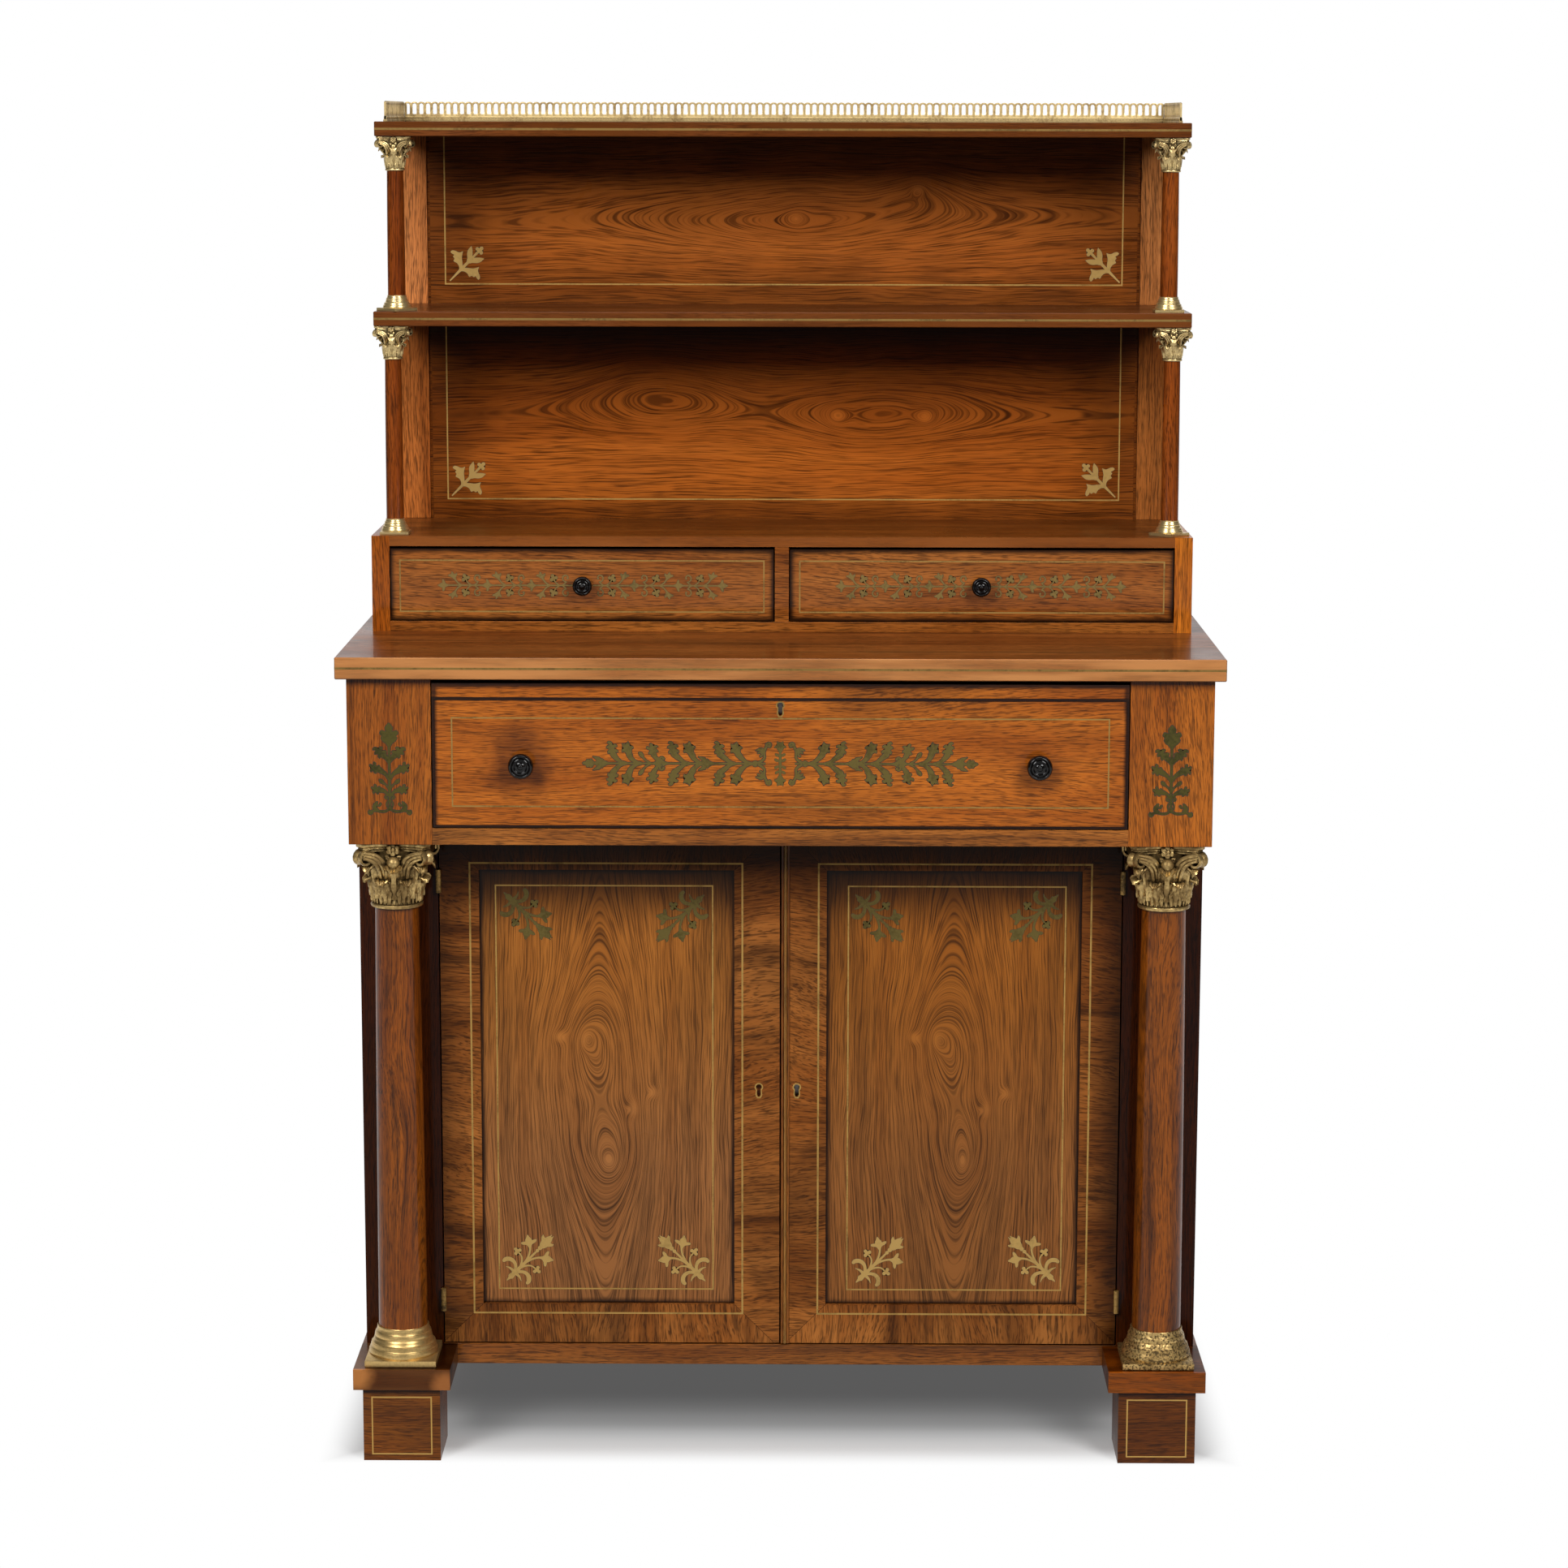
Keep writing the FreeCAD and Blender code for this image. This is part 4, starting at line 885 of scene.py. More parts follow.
def frieze_heart():
    """The upright leaf in the middle of the frieze band, along +x upwards from its centre."""
    return both_ends([
        stalk([(0, 0), (12, 0), (19, 0)], [1.4, 1.2, 1.0]),
        moved(LILY_HEAD, 12.5, 0, 0, 12.5, 0.84),
        *(moved(BUD, x, y * 0.5, y * turn, size)
          for x, turn, size in ((2.0, 62, 6.4), (7.5, 56, 6.0)) for y in (1, -1))])


def drawer_unit():
    """One 50 mm unit of a small drawer's band along +x: scroll, clover, split leaf, tulip."""
    middle = [stalk([(-1, 0), (20, 0), (42, 0)], [0.7, 0.75, 0.7]),
              moved(TULIP_HEAD, 41.0, 0, 0, 11.0)]
    side = [*curl(6.6, 8.6, 4.6, -92, 290, 0.72, shrink=0.42),
            stalk([(10.5, 0.2), (8, 2.2), (6.4, 3.9)], [0.7, 0.7]),
            stalk([(14, 0.2), (17.5, 2.6), (19.6, 5.4)], [0.7, 0.65]),
            moved(CLOVER_HEAD, 19.2, 4.8, 66, 8.2),
            stalk([(25, 0.2), (29, 2.6), (32, 6.2)], [0.75, 0.9]),
            moved(SPLIT_LEAF, 31.2, 5.2, 54, 11.5, 0.84)]
    return middle + both_sides(side)


def signed_area(outline):
    return 0.5 * sum(a[0] * b[1] - b[0] * a[1] for a, b in zip(outline, outline[1:] + outline[:1]))


def grown(outline, by):
    """The outline pushed outwards by a small step."""
    if signed_area(outline) < 0:
        outline = outline[::-1]
    out, count = [], len(outline)
    for k, p in enumerate(outline):
        a, b = Vector(outline[k - 1]), Vector(outline[(k + 1) % count])
        way = b - a
        if way.length < 1e-9:
            continue
        way.normalize()
        out.append((p[0] + way.y * by, p[1] - way.x * by))
    return out


def thinned(outline, least):
    """The outline with points that lie almost on top of each other left out."""
    kept = []
    for p in outline:
        if not kept or math.dist(p, kept[-1]) > least:
            kept.append(p)
    while len(kept) > 3 and math.dist(kept[0], kept[-1]) < least:
        kept.pop()
    return kept


def upright(a, b, depth):
    """A place on a front: across, up, and in depth."""
    return Vector((a, depth, b))


WIDE_SEAM = 0.0006  # dark line round the leaves of the frieze and the posts
LEAST_STEP = 0.00004  # points of an outline that lie closer than this are one
LAYER = 0.0000025  # between overlapping leaves, so that no two faces share a plane


def lay_inlay(name, shapes, places, face_y, body, finish, border, seam=0.0003):
    """Brass plates let into a front face, and the dark line round them.

    shapes are outlines in millimetres along +x; places are (x, z, turn)."""
    proud = settings("brass").inlay_proud
    plates, lines = bmesh.new(), bmesh.new()
    for x, z, turn in places:
        for k, outline in enumerate(shapes):
            flat = [(a * MM + x, b * MM + z) for a, b in moved(outline, 0, 0, turn)]
            flat = thinned(flat, LEAST_STEP)
            if signed_area(flat) < 0:
                flat = flat[::-1]
            front = k * LAYER
            add_prism(plates, flat, face_y - proud - front, face_y + 0.0006, upright)
            add_prism(lines, grown(flat, seam), face_y - proud * 0.35 - front, face_y + 0.0004,
                      upright)
    for part, mesh, material in (("_brass", plates, finish), ("_mastic", lines, border)):
        put_piece(name + part, finish_mesh(mesh, name + part), material, body)


# ------------------------------------------------------------------ turned and cast shapes
LARGE = dict(name="Large", coarse=1, base=40.0, cap=76.0, neck=24.0, foot=27.3, plinth=39.6,
             abacus=40.4, cols=12, rows=14)
SMALL = dict(name="Small", coarse=2, base=17.5, cap=38.0, neck=9.1, foot=9.9, plinth=16.2,
             abacus=19.2, cols=6, rows=9)


def column_places():
    """(x, y, foot, head, turn of the plinth) of the large and of the small columns."""
    low, high = LARGE_BASE
    x, y = high.x - LARGE["plinth"] * MM, (low.y + high.y) / 2
    large = [(side * x, y, low.z, FRIEZE_FOOT, 0) for side in (-1, 1)]
    y = (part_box("small_columns")[0].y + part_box("small_columns")[1].y) / 2
    small = [(x, y, low, high, turn) for reach, low, high, turns in (
        (0.4378, LEDGE_TOP, MIDDLE_LOW.z, (0, 45)), (0.4325, MIDDLE_HIGH.z, CROWN_LOW.z, (45, 0)))
        for x, turn in zip((-reach, reach), turns)]
    return large, small


LARGE["places"], SMALL["places"] = column_places()


def steps_round(size):
    return max(24, settings("turning").steps // size["coarse"])


def put_on_columns(size, title, node, bm, angle, finish):
    """A piece over all the columns of a size, in the place of its frame node."""
    name = size["name"].lower() + "_" + node
    put_piece(size["name"] + title, finish_mesh(bm, name, angle), finish, "carcase", [name])


def placed(x, y, z, turn=0.0):
    """Millimetre shapes put down at a place in metres, turned by degrees about Z."""
    return (Matrix.Translation((x, y, z)) @ Matrix.Rotation(radians(turn), 4, "Z")
            @ Matrix.Scale(MM, 4))


def shaft_profile(size, length):
    """A shaft that swells a little on its way from foot to neck, both ends in the brass."""
    swelling, rows = settings("turning").swelling, 20
    low, high = size["base"] * 0.6, length - size["cap"] * 0.8
    profile = [(0, low)]
    for k in range(rows + 1):
        t = k / rows
        r = size["foot"] + (size["neck"] - size["foot"]) * t
        profile.append((r + swelling * size["foot"] * sin(pi * t), low + (high - low) * t))
    return profile + [(0, high)]


def base_profile(size):
    """A bell of three grooved mouldings, from almost the plinth's width up to a collar."""
    p, h, foot = size["plinth"], size["base"], size["foot"] * 1.03
    steps = [(0.88, 0.19), (0.905, 0.205), (0.92, 0.25), (0.89, 0.31), (0.81, 0.375),
             (0.755, 0.385), (0.725, 0.40), (0.713, 0.455), (0.655, 0.515), (0.57, 0.525),
             (0.515, 0.54), (0.42, 0.61), (0.355, 0.68), (0.31, 0.69), (0.33, 0.705),
             (0.305, 0.765), (0.245, 0.815), (0.19, 0.825), (0.165, 0.84), (0.10, 0.90),
             (0.065, 0.955), (0.075, 0.98), (0.035, 1.0)]
    return [(0, h * 0.19)] + [(foot + (p - foot) * f, h * z) for f, z in steps] + [(0, h)]


def bridge(bm, rings):
    """Closes a row of rings of points into one solid."""
    rings = [[bm.verts.new(place) for place in ring] for ring in rings]
    bm.faces.new(rings[0][::-1])
    bm.faces.new(rings[-1])
    for low, high in zip(rings, rings[1:]):
        for k in range(len(low)):
            bm.faces.new([low[k - 1], low[k], high[k], high[k - 1]])


def add_plinth(bm, size, matrix):
    """A square brass plate with softened arrises."""
    p, top, ease = size["plinth"], size["base"] * 0.20, size["plinth"] * 0.02
    bridge(bm, [[matrix @ Vector((sx * half, sy * half, z))
                 for sx, sy in ((-1, -1), (1, -1), (1, 1), (-1, 1))]
                for half, z in ((p - ease, 0), (p, ease), (p, top - ease), (p - ease * 2, top))])


def add_ball(bm, centre, radii, matrix, rows, cols):
    """A closed egg shape."""
    profile = [(sin(pi * k / rows), -cos(pi * k / rows)) for k in range(rows + 1)]
    add_lathe(bm, [(0 if r < 1e-6 else r, h) for r, h in profile], cols,
              matrix @ Matrix.Translation(centre) @ Matrix.Diagonal((*radii, 1)))


def add_tube(bm, points, radii, matrix, sides, count):
    """A tapering tube along a smooth line of 3-D points, closed at both ends."""
    line, rings = spline(points, count), []
    for k, p in enumerate(line):
        way = heading(line, k)
        side = way.cross(Vector((0.13, 0.21, 0.97))).normalized()
        lift, r = side.cross(way), between(radii, k / (len(line) - 1))
        rings.append([matrix @ (p + (side * cos(a) + lift * sin(a)) * r)
                      for a in (2 * pi * s / sides for s in range(sides))])
    bridge(bm, rings)


def leaf_line(height, t):
    """The middle rib of an acanthus leaf: (out, up) at t from foot to curled tip."""
    rise, bend = 0.80 * height, 0.145 * height
    if t < 0.66:
        k = t / 0.66
        return 0.10 * height * k * k, rise * k
    angle = radians(180 - (t - 0.66) / 0.34 * 205)
    return (0.10 * height + bend * (1 + cos(angle)), rise + bend * sin(angle))


def leaf_half_width(width, t):
    """Half width of the leaf at t, with its lobes."""
    lobes = settings("turning").leaf_lobes
    body = 0.72 + 0.5 * sin(min(t / 0.62, 1.0) * pi * 0.8)
    body *= math.sqrt(max(0.0, 1 - max(0.0, (t - 0.6) / 0.42) ** 2.2))
    notch = 0.74 + 0.26 * abs(cos(pi * (lobes + 0.35) * t)) ** 0.7
    return width * 0.5 * body * notch


def add_leaf(bm, height, width, radius, foot_z, cols, rows, thick):
    """An acanthus leaf facing +X on a bell of that radius, rib and lobes raised."""
    front, back = [], []
    for r in range(rows + 1):
        t = r / rows
        out, up = leaf_line(height, t)
        ahead, behind = leaf_line(height, min(t + 0.02, 1)), leaf_line(height, max(t - 0.02, 0))
        way = Vector((ahead[0] - behind[0], ahead[1] - behind[1])).normalized()
        face = Vector((way.y, -way.x))
        half = max(leaf_half_width(width, t), width * 0.03)
        near, far = [], []
        for c in range(cols + 1):
            u = c / cols * 2 - 1
            relief = half * (0.30 * (1 - abs(u) ** 1.6) + 0.10 * math.exp(-(u / 0.12) ** 2)
                             + 0.13 * cos(abs(u) * pi * 4.0 - 5.0 * t))
            for ring, lift in ((near, relief), (far, relief - thick)):
                reach = radius + out + face.x * lift
                angle = u * half / (radius + out * 0.6)
                ring.append(bm.verts.new((reach * cos(angle), reach * sin(angle),
                                          foot_z + up + face.y * lift)))
        front.append(near)
        back.append(far)
    for r in range(rows):
        for c in range(cols):
            bm.faces.new([front[r][c], front[r][c + 1], front[r + 1][c + 1], front[r + 1][c]])
            bm.faces.new([back[r][c + 1], back[r][c], back[r + 1][c], back[r + 1][c + 1]])
        for c in (0, cols):
            bm.faces.new([front[r][c], front[r + 1][c], back[r + 1][c], back[r][c]])
    for r in (0, rows):
        for c in range(cols):
            bm.faces.new([front[r][c], front[r][c + 1], back[r][c + 1], back[r][c]])


def add_ribbon(bm, path, widths, thick, matrix):
    """A fluted strap along a path of (out, up) points, lying across the radial plane."""
    rings, last = [], len(path) - 1
    for k, (out, up) in enumerate(path):
        a, b = path[max(k - 1, 0)], path[min(k + 1, last)]
        way = Vector((b[0] - a[0], b[1] - a[1])).normalized()
        face = Vector((-way.y, way.x))
        half = between(widths, k / last)
        section = [(-half, 0.0), (-half, thick), (-half * 0.55, thick), (0, thick * 0.45),
                   (half * 0.55, thick), (half, thick), (half, 0.0)]
        rings.append([bm.verts.new(matrix @ Vector((out + face.x * d, w, up + face.y * d)))
                      for w, d in section])
    bm.faces.new(rings[0])
    bm.faces.new(rings[-1][::-1])
    for low, high in zip(rings, rings[1:]):
        for s in range(len(low)):
            bm.faces.new([low[s], low[s - 1], high[s - 1], high[s]])


def scroll_path(size):
    """(out, up) of a corner scroll, from its sheath up under the abacus and round its eye."""
    h, a, neck = size["cap"], size["abacus"], size["neck"]
    cx, cz, r = a * 1.165, h * 0.775, h * 0.10
    path = [(neck * 1.0, h * 0.46), (neck * 1.14, h * 0.60), (neck * 1.42, h * 0.735),
            (a * 0.93, h * 0.835), (a * 1.05, h * 0.868)]
    for k in range(19):
        angle = radians(92 - k * 26)
        radius = r * (1 - 0.74 * k / 18)
        path.append((cx + radius * cos(angle), cz + radius * sin(angle)))
    return path


def quarter_turn(quarter, start=0.0):
    return Matrix.Rotation(start + pi / 2 * quarter, 4, "Z")


def add_abacus(bm, size):
    """The hollow-sided slab over a capital, in three mouldings, with clipped corners."""
    a, h = size["abacus"], size["cap"]
    rings = []
    for inset, z in ((0.10, 0.865), (0.10, 0.885), (0.045, 0.905), (0.055, 0.925), (0.015, 0.94),
                     (0.0, 0.955), (0.0, 0.995), (0.01, 1.0)):
        reach = a * (1 - inset)
        rings.append([quarter_turn(quarter) @ Vector((t * reach * 0.84,
                                                      -reach + a * 0.20 * (1 - t * t), h * z))
                      for quarter in range(4) for t in (k / 6 - 1 for k in range(13))])
    bridge(bm, rings)


def add_fleuron(bm, size):
    """Flower in the middle of each side of the abacus, arched stalks and the boss below."""
    a, h, neck = size["abacus"], size["cap"], size["neck"]
    for spin in map(quarter_turn, range(4)):
        y, z = -a * 0.86, h * 0.905
        for k in range(6):
            angle = pi / 3 * k + pi / 6
            add_ball(bm, (a * 0.115 * cos(angle), y, z + a * 0.115 * sin(angle)),
                     (a * 0.082, a * 0.075, a * 0.082), spin, 4, 7)
        add_ball(bm, (0, y - a * 0.045, z), (a * 0.062, a * 0.06, a * 0.062), spin, 4, 7)
        add_ball(bm, (0, -neck * 1.42, h * 0.70), (a * 0.19, a * 0.18, h * 0.105), spin, 7, 12)
        for side in (-1, 1):
            for k in (0, 1, 2):
                strap = [(side * a * (0.20 + 0.075 * k), -neck * 1.16, h * (0.54 - 0.035 * k)),
                         (side * a * (0.25 + 0.085 * k), -a * 0.80, h * (0.70 - 0.030 * k)),
                         (side * a * (0.46 + 0.06 * k), -a * 0.88, h * (0.815 - 0.038 * k)),
                         (side * a * (0.80 + 0.02 * k), -a * 0.96, h * (0.862 - 0.036 * k))]
                add_tube(bm, strap, [a * 0.045, a * 0.06, a * 0.062, a * 0.05], spin, 7, 4)
            eye = [(side * (a * 0.155 + a * 0.065 * cos(q) * (1 - q / 9)), -a * 0.83,
                    h * 0.775 + a * 0.065 * sin(q) * (1 - q / 9))
                   for q in (0.6, 1.8, 3.0, 4.2, 5.4, 6.6)]
            add_tube(bm, eye, [a * 0.036, a * 0.03, a * 0.036], spin, 5, 2)


def capital_mesh(size, finish):
    """One capital in millimetres, standing on the origin."""
    h, a, neck, cols, rows = (size[k] for k in ("cap", "abacus", "neck", "cols", "rows"))
    bm = bmesh.new()
    add_lathe(bm, [(0, 0), (neck * 1.10, 0), (neck * 1.185, h * 0.012), (neck * 1.21, h * 0.035),
                   (neck * 1.185, h * 0.058), (neck * 1.08, h * 0.072), (neck * 1.08, h * 0.30),
                   (neck * 1.06, h * 0.55), (neck * 1.16, h * 0.70), (a * 0.74, h * 0.82),
                   (a * 0.80, h * 0.87), (0, h * 0.88)], 40)
    add_abacus(bm, size)
    add_fleuron(bm, size)
    corner = [neck * 0.26, neck * 0.26, a * 0.16, a * 0.19, a * 0.18, a * 0.16]
    for quarter in range(4):
        spin = quarter_turn(quarter, pi / 4)
        add_ribbon(bm, scroll_path(size), corner, a * 0.062, spin)
        add_ball(bm, (a * 1.165, 0, h * 0.775), (h * 0.055, a * 0.18, h * 0.055), spin, 6, 10)
    for start, height, width, foot in ((0.0, 0.56, 0.98, 0.15), (22.5, 0.37, 0.84, 0.10)):
        one = bmesh.new()
        add_leaf(one, h * height, neck * width, neck * 1.08, h * foot, cols, rows, a * 0.035)
        take(bm, repeated(finish_mesh(one, "acanthus_leaf"), 8, finish,
                          start=radians(start), ring=True))
    for count, start, foot, height, wide in ((16, 11.25, 0.065, 0.19, 0.20),
                                             (16, 0, 0.065, 0.12, 0.14),
                                             (8, 22.5, 0.40, 0.15, 0.20)):
        one = bmesh.new()
        add_ball(one, (neck * 1.12, 0, h * (foot + height / 2)),
                 (neck * 0.09, neck * wide / 2, h * height / 2), SAME, 6, 7)
        take(bm, repeated(finish_mesh(one, "gadroon"), count, finish,
                          start=radians(start), ring=True))
    return finish_mesh(bm, "capital", 40)


TOOTH_PITCH, RAIL_HALF = 3.925, 2.2  # of the gallery's foot rail, in millimetres


def arch_unit(pitch, opening, thick):
    """One round-headed opening of the gallery with its own arched top, in millimetres."""
    r, w, foot, top, rail = opening / 2, pitch / 2, 8.4, 22.5, 2.4
    head = top - 1.9 - r
    hole = ([(r * 0.6, foot), (r, foot + 0.9), (r, head - 3)] + arc(0, head, r, 0, 180, 6)
            + [(-r, head - 3), (-r, foot + 0.9), (-r * 0.6, foot)])
    dip = top - 1.7
    outer = ([(w, rail), (w, foot + 0.9), (w, head - 3), (w, dip), (w * 0.86, top - 1.2),
              (w * 0.5, top - 0.3), (0, top), (-w * 0.5, top - 0.3), (-w * 0.86, top - 1.2),
              (-w, dip), (-w, head - 3), (-w, foot + 0.9), (-w, rail)])
    lip = [(x + (0.42 if x > 0.1 else -0.42 if x < -0.1 else 0),
            z + (0.42 if z > head - 0.1 else -0.42 if z < foot + 0.1 else 0)) for x, z in hole]
    bm = bmesh.new()
    half = thick / 2

    def ring(points, y):
        return [bm.verts.new((x, y, z)) for x, z in points]
    edge_front, edge_back = ring(hole, -half), ring(hole, half)
    lip_front = ring(lip, -half - 0.22)
    outer_front, outer_back = ring(outer, -half), ring(outer, half)
    count = len(hole)
    for k in range(count):
        n = (k + 1) % count
        bm.faces.new([edge_front[k], edge_front[n], lip_front[n], lip_front[k]])
        bm.faces.new([edge_front[k], edge_back[k], edge_back[n], edge_front[n]])
        bm.faces.new([lip_front[k], lip_front[n], outer_front[n], outer_front[k]])
        bm.faces.new([edge_back[k], outer_back[k], outer_back[n], edge_back[n]])
    for k in (*range(3, 9), len(outer) - 1):
        n = (k + 1) % len(outer)
        bm.faces.new([outer_front[k], outer_front[n], outer_back[n], outer_back[k]])
    return finish_mesh(bm, "gallery_arch")


def add_gallery_run(bm, length, finish, matrix):
    """A run of arches along +X from the origin on a stepped, notched foot rail."""
    s = settings("gallery")
    pitch, thick = s.pitch / MM, s.thickness / MM
    count = round(length / pitch)
    first = (length - (count - 1) * pitch) / 2
    strip = bmesh.new()
    arches = repeated(arch_unit(pitch, s.opening / MM, thick), count, finish, (pitch, 0, 0))
    take(strip, arches, Matrix.Translation((first, 0, 0)))
    bmesh.ops.remove_doubles(strip, verts=strip.verts, dist=1e-3)
    bmesh.ops.holes_fill(strip, edges=[e for e in strip.edges if len(e.link_faces) == 1], sides=0)
    take(bm, finish_mesh(strip, "gallery_strip"), matrix)
    for x in (0, length - 2.0):
        add_box(bm, (x, -thick / 2 - 0.25, 2.4), (x + 2.0, thick / 2 + 0.25, 21.6), matrix)
    rail = [(-2.2, 0), (-2.2, 1.9), (-1.9, 2.2), (-1.5, 2.6), (-1.5, 5.2), (-1.15, 5.6),
            (-1.0, 6.2), (1.0, 6.2), (1.15, 5.6), (1.5, 5.2), (1.5, 2.6), (1.9, 2.2), (2.2, 1.9),
            (2.2, 0)]
    add_prism(bm, rail, 0, length, lambda a, b, d: matrix @ Vector((d, a, b)))
    tooth = bmesh.new()
    add_box(tooth, (-0.95, -2.05, 2.2), (0.95, 2.05, 4.4))
    teeth = int(length // TOOTH_PITCH) - 1
    take(bm, repeated(finish_mesh(tooth, "tooth"), teeth, finish, (TOOTH_PITCH, 0, 0)),
         matrix @ Matrix.Translation(((length - (teeth - 1) * TOOTH_PITCH) / 2, 0, 0)))


def knob_profile(r, n):
    """(radius, out) of a turned knob: waisted neck, round edge, two rings and a nipple."""
    neck = [(0.62, 0.0), (0.58, 0.03), (0.47, 0.10), (0.43, 0.20), (0.44, 0.30), (0.52, 0.40),
            (0.66, 0.475), (0.84, 0.54), (0.96, 0.62), (1.0, 0.70), (0.985, 0.79), (0.94, 0.87),
            (0.87, 0.925), (0.80, 0.945)]
    face = [(0.75, 0.935), (0.715, 0.90), (0.69, 0.885), (0.66, 0.90), (0.60, 0.925), (0.54, 0.93),
            (0.49, 0.915), (0.46, 0.885), (0.43, 0.875), (0.36, 0.885), (0.28, 0.905),
            (0.22, 0.93), (0.17, 0.975), (0.11, 0.995), (0.05, 1.0), (0, 1.0)]
    return [(0, -2.0), (r * 0.60, -2.0)] + [(r * a, n * b) for a, b in neck + face]


def screw_mesh():
    """A slotted countersunk head in millimetres, facing +Z, its rim at the surface."""
    bm = bmesh.new()
    r, slot = 2.1, 0.32
    edge = math.degrees(math.asin(slot / r))
    for turn in (0, 180):
        shape = arc(0, 0, r, turn + edge, turn + 180 - edge, 8)
        add_prism(bm, shape, -0.6, 0.14, lambda a, b, d: Vector((a, b, d)))
    add_lathe(bm, [(0, -0.8), (r * 0.97, -0.8), (r * 0.97, -0.38), (0, -0.38)], 16)
    return finish_mesh(bm, "screw_head")


# ------------------------------------------------------------------ finishes on frame nodes
def finish_nodes(names, material, edge=None):
    """Gives frame nodes their material, and softened arrises where edge is a width."""
    for name in names.split():
        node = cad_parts[name]
        for place in node.material_slots:
            place.material = material
        if edge:
            node.modifiers.new("Weld", "WELD").merge_threshold = 1e-5
            bevel = node.modifiers.new("Worn arris", "BEVEL")
            bevel.width, bevel.segments, bevel.use_clamp_overlap = edge, 2, True
            bevel.limit_method, bevel.angle_limit = "ANGLE", radians(50)


def veneer(names, title, grain, seed, warp, streaks, tint, edge=None, **more):
    """Gives frame nodes a rosewood finish of their own."""
    finish = rosewood(title + " rosewood", grain, seed, warp, streaks, tint, **more)
    finish_nodes(names, finish, edge)


def across(left, right):
    """A wash that turns from one shade to another between the piece's left and right."""
    return ("X", -0.1, 0.1, left, right)


# ------------------------------------------------------------------ operators
SHELF_TINT = (0.37, 0.38, 0.62)
DOOR_MIDDLE = (0.19375, 0.405)  # x and z of the right door's panel
FRIEZE_MIDDLE_Z, BAND_Z = 0.7915, 0.9603  # of the inlay on the frieze and on the small drawers
HINGE_HALF, SCREW_PITCH = 13 * MM, 8.0
ROOM = 9  # half width of the floor

